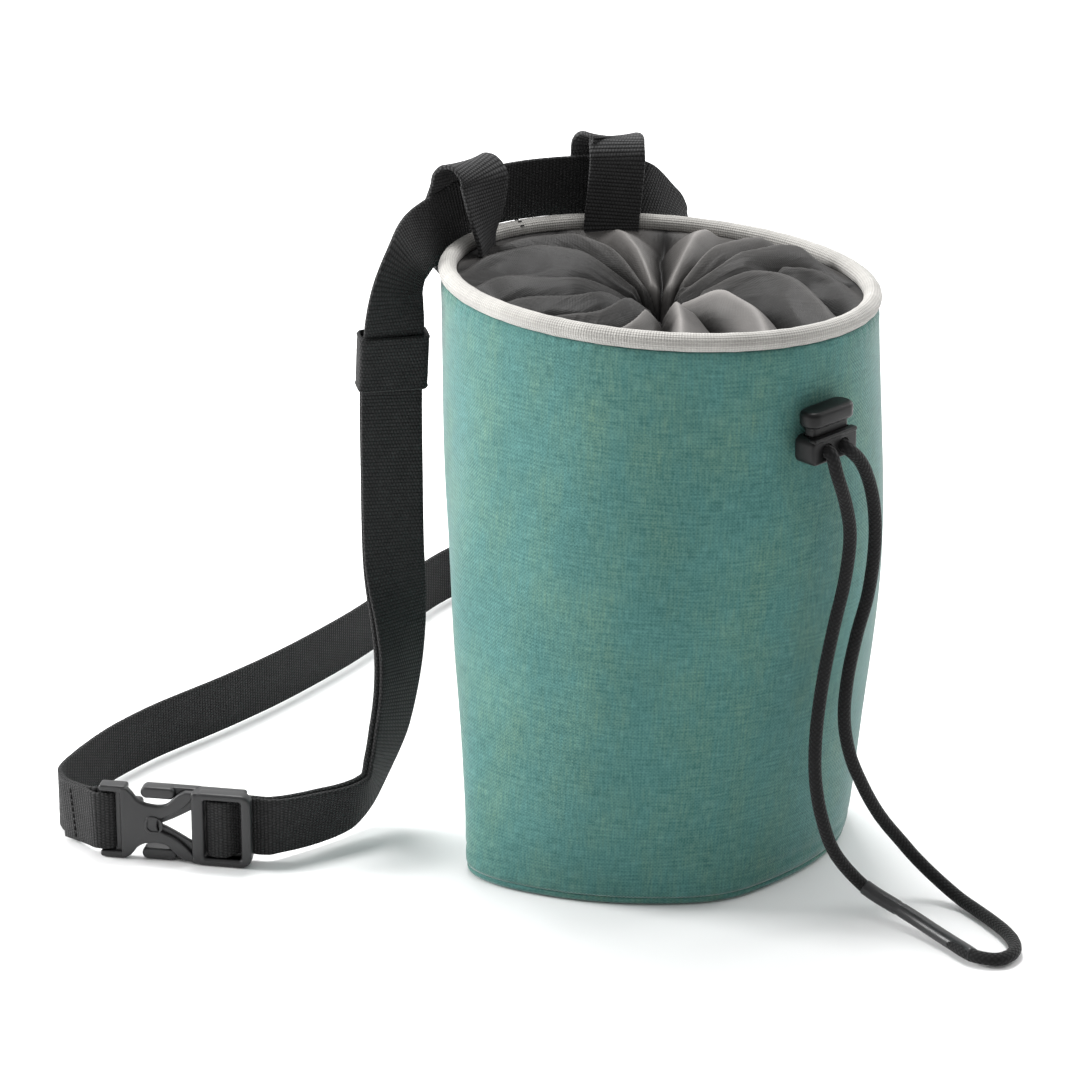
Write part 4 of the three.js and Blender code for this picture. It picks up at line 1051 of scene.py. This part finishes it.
class CHALKBAG_OT_piping(bpy.types.Operator):
    """Make the corded piping round the rim"""

    bl_idname = "chalkbag.piping"
    bl_label = "Rim piping"

    def execute(self, context):
        look = context.scene.chalk_cloth
        around = np.linspace(0, 360, 300, endpoint=False)
        angle = np.radians(around)
        rings = []
        pinch = 1 - PIPING_LAP_PINCH * bell(around, PIPING_LAP, 0.9)
        for turn in np.linspace(0, 2 * math.pi, 28, endpoint=False):
            uneven = 1 + 0.012 * np.sin(31 * angle + 2 * turn) + 0.010 * np.sin(53 * angle)
            radius = look.piping_diameter / 2 * uneven * pinch
            place = rim_place(around, radius * math.cos(turn))[0]
            place[:, 2] += radius * math.sin(turn)
            rings.append(place)
        cover = bias_cloth("bias cloth", look)
        dress("piping_cord", np.array(rings), "piping", cover, "rim_piping", closed=True)

        place, out = rim_place(PIPING_LAP)
        side = np.array((-out[1], out[0], 0.0))
        thread = []
        for turn in np.radians([40, 75, 110, 145]):
            normal = out * math.cos(turn) + np.array((0, 0, math.sin(turn)))
            middle = place + normal * (look.piping_diameter / 2 - 0.0001)
            thread += stitch_run(middle - side * 0.0007, middle + side * 0.0007, normal, 0.0014, 0.00022)
        lap_seam = merged_piece("piping_lap_stitches", thread)
        wear_slot(lap_seam, "bag", "cord", moulded_plastic("dark thread", context.scene.chalk_hardware, 0.7))
        return {"FINISHED"}


class CHALKBAG_OT_sleeve(bpy.types.Operator):
    """Make the gathered nylon sleeve that closes the mouth"""

    bl_idname = "chalkbag.sleeve"
    bl_label = "Closure sleeve"

    def execute(self, context):
        look = context.scene.chalk_cloth
        around = np.linspace(0, 360, 420, endpoint=False)
        angle = np.radians(around)
        edge = rim_place(around, -look.piping_diameter / 2 + 0.0006)[0]
        hole = look.gather_hole / 2
        along = np.concatenate([[0, 0.01, 0.02, 0.035], np.linspace(0.05, 1, 84)])[:, None]
        x = edge[None, :, 0] * (1 - along) + hole * np.cos(angle) * along
        y = edge[None, :, 1] * (1 - along) + hole * np.sin(angle) * along
        # tone is the light and shade painted into the nylon's colour along the folds
        crest, folds, tone = self.fold_shape(np.stack([x, y], -1), look.fold_height)
        level = edge[None, :, 2] - 0.0012
        inward = smooth_step(0, 0.17, along)
        z = level * (1 - inward) + (crest - folds) * inward
        pleats = np.sin(19 * angle + 2.2 * along) + 0.6 * np.sin(31 * angle - 3 * along + 0.7)
        z = z + 0.00035 * pleats * smooth_step(0.60, 0.95, along)
        drape = np.sin(190 * x + 60 * y) * np.sin(150 * y - 90 * x + 1.1)
        z = z + 0.00045 * drape * smooth_step(0.05, 0.25, along)
        z[-3:] -= np.array([0.0015, 0.0045, 0.0090])[:, None]
        upper = np.stack([x, y, z], -1)
        lower = upper[::-2] - (0, 0, SLEEVE_THICKNESS)
        nylon = thin_nylon("thin nylon", look)
        sleeve = dress("gathered_sleeve", np.concatenate([upper, lower]), "nylon", nylon,
                       "closure_sleeve", closed=True)
        # Stores the painted fold light and shade on the mesh for the nylon's colour
        shade = sleeve.data.attributes.new("painted_fold_shading", "FLOAT", "POINT")
        shade.data.foreach_set("value", np.concatenate([tone, tone[::-2]]).astype(np.float32).ravel())
        return {"FINISHED"}

    def fold_shape(self, plan, height):
        """Level of the crests, the cloth's dip to the creases between them, and the light and shade painted
        into its colour there: each fold's painted lightness, painted shade deepening into the creases and a
        painted highlight along the crest lines.
        """
        # pale and other hold the painted lightness of the nearest and the second-nearest crest
        first, second, tall, pale, other = np.ones((5, *plan.shape[:2]))
        # Each crest's painted lightness is light or shade painted into that fold's colour
        for lean, share, painted_light, places in SLEEVE_CRESTS:
            line = smooth_route([(x * MILLIMETRE, y * MILLIMETRE, 0.0) for x, y in places], 8)[:, :2]
            near = np.ones(plan.shape[:2])
            for start, end in zip(line[:-1], line[1:]):
                step = end - start
                reach = np.clip(((plan - start) @ step) / (step @ step), 0, 1)
                away = plan - start - reach[..., None] * step
                gap = np.linalg.norm(away, axis=-1) + 1e-9
                side = (step[0] * away[..., 1] - step[1] * away[..., 0]) / (gap * np.linalg.norm(step))
                near = np.minimum(near, gap * (1 + lean * side))
            closer = near < first
            second = np.where(closer, first, np.minimum(second, near))
            tall = np.where(closer, share, tall)
            other = np.where(closer, pale, np.where(near <= second, painted_light, other))
            pale = np.where(closer, painted_light, pale)
            first = np.where(closer, near, first)
        from_middle = np.linalg.norm(plan, axis=-1)
        crest = CREST_LEVEL + CREST_RISE * smooth_step(0, 0.027, from_middle)
        crest = crest - CREST_FALL * smooth_step(0.036, 0.058, from_middle) - CREST_LOWERED * (1 - tall)
        spread = (first + second) / 2
        share = np.clip(first / spread, 0, 1)
        rounded = 1 - np.sqrt(np.clip(1 - share ** 2.6, 0, 1))
        dip = np.minimum(height, 2.3 * spread) * (0.60 * share ** 1.25 + 0.40 * rounded)
        mixed = 0.5 * smooth_step(0.72, 1, share)
        # Painted light and shade: the fold's painted lightness, shared with the next fold near the crease,
        # with painted shade darkening towards the crease
        tone = (pale * (1 - mixed) + other * mixed) * (1.15 - 1.09 * share ** 2.2)
        # Painted highlight along each crest line
        tone = tone * (1 + 0.9 * bell(first, 0, 0.0011))
        return crest, dip, tone


class CHALKBAG_OT_straps(bpy.types.Operator):
    """Weave the belt, its loops and the elastic keeper, with their stitches"""

    bl_idname = "chalkbag.straps"
    bl_label = "Belt, loops and keeper"

    def execute(self, context):
        strap, look = context.scene.chalk_strap, context.scene.chalk_cloth
        webbing = ribbed_webbing("belt webbing", strap, strap.webbing_colour, 0.8)
        # The loops use the belt's webbing painted 1.9 times lighter: painted light standing in for light on
        # loops that sit in shade
        loop_webbing_painted_lighter = ribbed_webbing("loop webbing painted lighter", strap, strap.webbing_colour, 0.7, 1.9)
        thread = ribbed_webbing("sewing thread", strap, strap.thread_colour, 0.1)

        sewn_end, whole, ladder = belt_stations(strap)
        tail = tail_stations(whole, strap)
        stations = band_stations([*sewn_end, *whole, *ladder, *tail], 3)
        section = webbing_section(strap.belt_width, strap.belt_thickness)
        rows = ribbon_rows(*ribbon_faces(stations), section)
        dress("belt_webbing", rows, "webbing", webbing, "belt", caps=True)

        places, edges, faces = ribbon_faces(sewn_end[:3][::-1])
        share = SEWN_STITCH / SEWN_FLAP
        middle = places[0] * (1 - share) + places[-1] * share
        toward_camera = faces[1] @ np.array((-0.66, -0.66, 0.37))
        outward = faces[1] * np.sign(toward_camera)
        middle = middle + outward * (strap.belt_thickness / 2)
        half = edges[1] * strap.belt_width * 0.44
        stitches = stitch_run(middle - half, middle + half, outward, 0.0019, 0.00026)
        for name, values in LOOPS.items():
            rows, foot = self.belt_loop(values, strap, look)
            dress(f"loop_{name}_webbing", rows, "webbing", loop_webbing_painted_lighter, f"belt_loop_{name}", caps=True)
            stitches += foot
        sewing = merged_piece("webbing_stitches", stitches)
        wear_slot(sewing, "bag", "webbing", thread)

        elastic = ribbed_webbing("elastic", strap, strap.webbing_colour, 0.85)
        rows = self.keeper_rows(whole, strap)
        dress("keeper_elastic", rows, "webbing", elastic, "strap_keeper", closed=True)
        return {"FINISHED"}

    def belt_loop(self, values, strap, look):
        """Rings of a loop inside the rim, over the belt and down the wall, and its foot's stitches."""
        around, twist, outer, lower, room, foot, lean_in, lean_out = values
        place, out = rim_place(around)
        side = np.array((-out[1], out[0], 0.0))
        thickness = strap.belt_thickness
        seat = GAP + thickness / 2
        inner = -look.piping_diameter / 2 - seat - 0.0006 - foot * LOOP_FOOT_SETBACK
        radius = LOOP_DEPTH / 2
        middle = inner + radius + 0.0006
        crown = LOOP_RISE * (1 - lower) - thickness / 2 - radius
        beyond = look.piping_diameter / 2 + BELT_OUT + strap.belt_thickness + seat + room * LOOP_RISE
        profile = [(inner, -0.003), (inner, 0.001), (inner, crown / 2)]
        profile += [(middle + radius * math.cos(math.radians(t)), crown + radius * math.sin(math.radians(t)))
                    for t in range(180, -1, -30)]
        profile += [(beyond + 0.0008, crown * 0.4), (beyond, -look.piping_diameter / 3)]
        stations = []
        for offset, level in profile:
            raised = foot + (twist - foot) * smooth_step(0, crown, level)
            swing = smooth_step(middle, middle + radius, offset)
            turned = math.radians(raised + (outer - raised) * swing)
            edge = side * math.cos(turned) + np.cross((0, 0, 1.0), side) * math.sin(turned)
            lean = lean_in * smooth_step(0, crown, level) * (1 - swing)
            lean = lean + lean_out * smooth_step(-0.001, crown * 0.5, level) * swing
            at = place + out * offset + side * lean
            at[2] = place[2] + level
            stations.append((at, edge))
        toward = math.degrees(math.atan2(place[1], place[0]))
        for share in (0.4, 0.7, 1):
            height = place[2] - look.piping_diameter / 2 - share * LOOP_SEWN
            stations.append((wall_place(toward, height, 0, look.piping_diameter) + out * (seat + GAP), side))
        fine = band_stations(stations, 6)
        rows = ribbon_rows(*ribbon_faces(fine), webbing_section(strap.loop_width, thickness))
        stitches = []
        for share in (0.55, 0.66, 0.88):
            height = place[2] - look.piping_diameter / 2 - share * LOOP_SEWN
            at = wall_place(toward, height, 0, look.piping_diameter) + out * (seat + GAP + thickness / 2)
            half = strap.loop_width * 0.42
            stitches += stitch_run(at - side * half, at + side * half, out, 0.0017, 0.00024)
        return rows, stitches

    def keeper_rows(self, whole, strap):
        """Rings of the elastic band round the belt and its tail, outer face then inner."""
        places, edges, faces = ribbon_faces(whole)
        level = KEEPER_LEVEL * RIM_HEIGHT
        low = max(i for i, place in enumerate(places) if place[2] > level)
        share = (places[low][2] - level) / (places[low][2] - places[low + 1][2])
        at = places[low] + (places[low + 1] - places[low]) * share
        edge = unit_vectors(edges[low] + (edges[low + 1] - edges[low]) * share)
        face = unit_vectors(faces[low] + (faces[low + 1] - faces[low]) * share)
        travel = np.cross(face, edge)
        layers = strap.belt_thickness + GAP
        centre = at + face * layers / 2
        half = strap.belt_width / 2 + 2 * GAP
        deep = layers / 2 + strap.belt_thickness / 2 + 4 * GAP
        angles = np.linspace(0, 2 * math.pi, 64, endpoint=False)

        def ring(along, grow):
            side = np.sign(np.cos(angles)) * np.abs(np.cos(angles)) ** 0.16 * (half + grow)
            front = np.sign(np.sin(angles)) * np.abs(np.sin(angles)) ** 0.42 * (deep + grow)
            return centre + travel * along + np.outer(side, edge) + np.outer(front, face)

        reach = strap.keeper_length / 2
        spans = np.linspace(-1, 1, 25)
        ends = np.abs(spans)
        grows = KEEPER_WALL * (1 - 0.35 * ends ** 8) + 0.00025 * (ends > 0.86) * (ends < 0.97)
        outside = [ring(reach * share, grow) for share, grow in zip(spans, grows)]
        inside = [ring(reach * share, 0) for share in spans[::-3]]
        return np.array([*outside, *inside])


class CHALKBAG_OT_buckle(bpy.types.Operator):
    """Mould the two halves of the side-release buckle"""

    bl_idname = "chalkbag.buckle"
    bl_label = "Buckle"

    def execute(self, context):
        look = context.scene.chalk_hardware
        half = BUCKLE_HEIGHT / 2
        slot = half - BUCKLE_RAIL
        rounding = look.edge_round
        plastic = moulded_plastic("buckle plastic", look)
        matrix = buckle_frame()
        step = BUCKLE_STEP
        opening = rounded_outline(BUCKLE_BAR, -slot, 0.0044, slot, 0.0008)
        outer = arc_points([(6.1, 10.7), (7.9, 10.5), (9.3, 9.2), (10.8, 7.3), (12.8, 6.1), (15.0, 5.7),
                            (17.4, 5.7), (19.4, 6.4), (21.0, 7.9), (22.6, 9.5), (24.6, 10.6)])
        inner = arc_points([(28.0, 10.7), (27.2, 9.2), (25.8, 7.4), (23.6, 5.2), (21.0, 3.4), (18.4, 2.3),
                            (16.9, 1.4), (16.5, 0)])
        rise = arc_points([(17.0, 1.9), (19.6, 3.2), (22.3, 4.9), (24.8, 7.2), (26.8, 9.9)])
        window = arc_points([(27.4, 5.6), (24.6, 3.9), (21.6, 2.2), (19.0, 0.9), (16.9, 0)])
        guide = mirrored_outline([(0.0150, 0.0016), *rise, (0.0276, 0.0099), *window])
        recess = rounded_outline(0.0138, -0.0019, 0.0180, 0.0019, 0.0014)
        # Bar frame, body with its arms, block behind them, backing of the slot, raised guide, latch rim
        plates = [
            slab(step, -half + step, 0.0077, half - step, 0.0016, -0.0011, 0.0011, rounding, opening),
            moulded_plate([mirrored_outline([*outer, *inner])], 0.00015, 0.0023, rounding),
            slab(0.0059, -half * 0.62, 0.0120, half * 0.62, 0.0012, -0.0020, 0.0021, rounding),
            slab(0.0040, -slot - step, 0.0070, slot + step, 0.0004, -0.0021, -0.0012, 0.0002),
            moulded_plate([guide], -0.0002, 0.0012, 0.0003),
            slab(0.0131, -0.0026, 0.0176, 0.0026, 0.0018, 0.0018, 0.0027, 0.0002, recess),
        ]
        for side in (-1, 1):
            low, high = sorted((side * (slot + step), side * half))
            plates.append(slab(0, low, 0.0078, high, 0.0008, -0.0020, 0.0021, rounding))
        male = plates_piece("buckle_plug", plates, matrix)
        wear_slot(male, "bag", "plastic", plastic, "buckle_male")

        deep = BUCKLE_THICKNESS / 2
        start, cross = SOCKET_START, SOCKET_CROSS
        sill = half * 0.70
        # On each side the lower wall, the raised end by the plug and the rail; then the ladder's frame
        plates = []
        for side in (-1, 1):
            low, high = sorted((side * sill, side * (half - step)))
            plates.append(slab(start + step, low, cross + 0.003, high, 0.0015, -deep, -0.0001, rounding))
            low, high = sorted((side * (sill - step), side * half))
            plates.append(slab(start, low, start + 0.0098, high, 0.0016, -deep + 0.0004, 0.0014, 0.0007))
            low, high = sorted((side * slot, side * (half - step)))
            plates.append(slab(cross, low, END_BAR + 0.001, high, 0.0009, -deep, deep - step, 0.0008))
        hole = rounded_outline(0.0300, -slot, END_BAR, slot, 0.0008)
        plates += [
            slab(cross, -half, BUCKLE_LENGTH, half, 0.0030, -0.0010, deep, 0.0008, hole),
            slab(cross, -half + 0.001, 0.0298, half - 0.001, 0.0008, -deep + step, 0.0, rounding),
            slab(0.0290, -slot - step, 0.0308, slot + step, 0.0004, -deep + 2 * step, -0.0017, 0.0002),
            slab(LADDER_BAR, -slot - 0.0005, LADDER_END, slot + 0.0005, 0.0006,
                 -BUCKLE_BAR_THICKNESS / 2, BUCKLE_BAR_THICKNESS / 2, 0.0005),
        ]
        female = plates_piece("buckle_socket", plates, matrix)
        wear_slot(female, "bag", "plastic", plastic, "buckle_female")
        return {"FINISHED"}


class CHALKBAG_OT_lock(bpy.types.Operator):
    """Mould the cord lock and its sprung button"""

    bl_idname = "chalkbag.lock"
    bl_label = "Cord lock"

    def execute(self, context):
        cloth, look = context.scene.chalk_cloth, context.scene.chalk_hardware
        middle = lock_face(cloth.piping_diameter) - LOCK_DEPTH / 2
        plastic = moulded_plastic("lock plastic", look, 0.38, 0.25)
        flat = Matrix.Translation((LOCK_ACROSS, middle, LOCK_LEVEL))
        upright = flat @ Matrix.Rotation(math.pi / 2, 4, "X")
        half = LOCK_WIDTH / 2
        deep = LOCK_DEPTH / 2
        hole = look.cord_diameter / 2 + GAP
        body = plates_piece("lock_shell", [
            slab(-half, 0, half, LOCK_HEIGHT, 0.0020, -deep, deep, 0.0010),
            slab(-half + 0.0004, LOCK_HEIGHT - 0.0013, half - 0.0004, LOCK_HEIGHT, 0.0006,
                 deep - 0.0020, deep + 0.00025, 0.0004),
        ], upright)
        bore = slab(-half * 0.80, -deep * 0.60, half * 0.80, deep * 0.60, 0.0010,
                    0.0012, LOCK_HEIGHT + 0.001, 0.0001)
        drill = []
        for across in (-CORD_SPACING / 2, CORD_SPACING / 2):
            rim = round_hole(across, LOCK_HEIGHT * HOLE_LEVEL, hole)
            drill.append(moulded_plate([rim], 0, deep + 0.002, 0.0001))
        carve(body, [plates_piece("bore", [bore], flat), plates_piece("drill", drill, upright)])
        wear_slot(body, "bag", "plastic", plastic, "lock_body")

        low = LOCK_HEIGHT + BUTTON_TRAVEL + GAP
        button = plates_piece("lock_cap", [
            slab(-half * 0.97, -deep, half * 0.97, deep, 0.0030, low, low + BUTTON_HEIGHT, 0.0013),
            slab(-half * 0.77, -deep * 0.54, half * 0.77, deep * 0.54, 0.0009,
                 LOCK_HEIGHT * 0.55, low + BUTTON_HEIGHT / 2, 0.0003),
        ], flat)
        wear_slot(button, "button", "plastic", plastic, "lock_button")
        return {"FINISHED"}


class CHALKBAG_OT_stage(bpy.types.Operator):
    """Set up the pale floor and the soft studio light"""

    bl_idname = "chalkbag.stage"
    bl_label = "Studio"

    def execute(self, context):
        corners = [(x, y, FLOOR_LEVEL) for x, y in ((-6, -6), (6, -6), (6, 6), (-6, 6))]
        floor = finish_mesh("studio_floor", corners, [(0, 1, 2, 3)], flat=True)
        paper = Finish("studio paper", Roughness=0.9)
        paper.shader.inputs["Base Color"].default_value = (0.93, 0.93, 0.93, 1)
        floor.data.materials.append(paper.material)
        world = bpy.data.worlds.new("studio")
        world.use_nodes = True
        background = world.node_tree.nodes["Background"]
        background.inputs["Color"].default_value = (1, 1, 1, 1)
        sky = Finish.on_tree(world.node_tree)
        heading = sky.node("ShaderNodeTexCoord", output=0)
        toward = sky.node("ShaderNodeVectorMath", {"operation": "DOT_PRODUCT"},
                          {0: heading, 1: SKY_BRIGHT_SIDE}, output=1)
        strength = toward * SKY_SLOPE + SKY_MIDDLE
        world.node_tree.links.new(strength.output, background.inputs["Strength"])
        context.scene.world = world
        for values in SOFTBOXES:
            self.softbox(*values)
        context.scene.view_settings.view_transform = "Standard"
        return {"FINISHED"}

    def softbox(self, name, place, size, power):
        """A square area light that points at the bag."""
        light = bpy.data.lights.new(name, "AREA")
        light.shape = "SQUARE"
        light.size = size
        light.energy = power
        holder = add_object(name, light)
        holder.location = place
        aim = LIGHT_TARGET - Vector(place)
        holder.rotation_mode = "QUATERNION"
        holder.rotation_quaternion = aim.to_track_quat("-Z", "Y")


class CHALKBAG_PT_panel(bpy.types.Panel):
    """Lists the bag's pieces"""

    bl_idname = "CHALKBAG_PT_panel"
    bl_label = "Chalk bag"
    bl_space_type = "VIEW_3D"
    bl_region_type = "UI"
    bl_category = "Chalk bag"

    def draw(self, context):
        layout = self.layout
        for step in STEPS:
            layout.operator(step.bl_idname)
        for group in (context.scene.chalk_cloth, context.scene.chalk_strap, context.scene.chalk_hardware):
            for key in group.__annotations__:
                layout.prop(group, key)


STEPS = (
    CHALKBAG_OT_camera,
    CHALKBAG_OT_drawcord,
    CHALKBAG_OT_wall,
    CHALKBAG_OT_piping,
    CHALKBAG_OT_sleeve,
    CHALKBAG_OT_straps,
    CHALKBAG_OT_buckle,
    CHALKBAG_OT_lock,
    CHALKBAG_OT_stage,
)
LOOKS = (ClothLook, StrapLook, HardwareLook)


def register():
    for kind in (*LOOKS, *STEPS, CHALKBAG_PT_panel):
        bpy.utils.register_class(kind)
    bpy.types.Scene.chalk_cloth = PointerProperty(type=ClothLook)
    bpy.types.Scene.chalk_strap = PointerProperty(type=StrapLook)
    bpy.types.Scene.chalk_hardware = PointerProperty(type=HardwareLook)


def unregister():
    del bpy.types.Scene.chalk_hardware
    del bpy.types.Scene.chalk_strap
    del bpy.types.Scene.chalk_cloth
    for kind in reversed((*LOOKS, *STEPS, CHALKBAG_PT_panel)):
        bpy.utils.unregister_class(kind)


def main():
    """Builds every piece in order."""
    register()
    bpy.ops.chalkbag.camera()
    bpy.ops.chalkbag.drawcord()
    bpy.ops.chalkbag.wall()
    bpy.ops.chalkbag.piping()
    bpy.ops.chalkbag.sleeve()
    bpy.ops.chalkbag.straps()
    bpy.ops.chalkbag.buckle()
    bpy.ops.chalkbag.lock()
    bpy.ops.chalkbag.stage()
    bpy.context.view_layer.update()


if __name__ == "__main__":
    main()
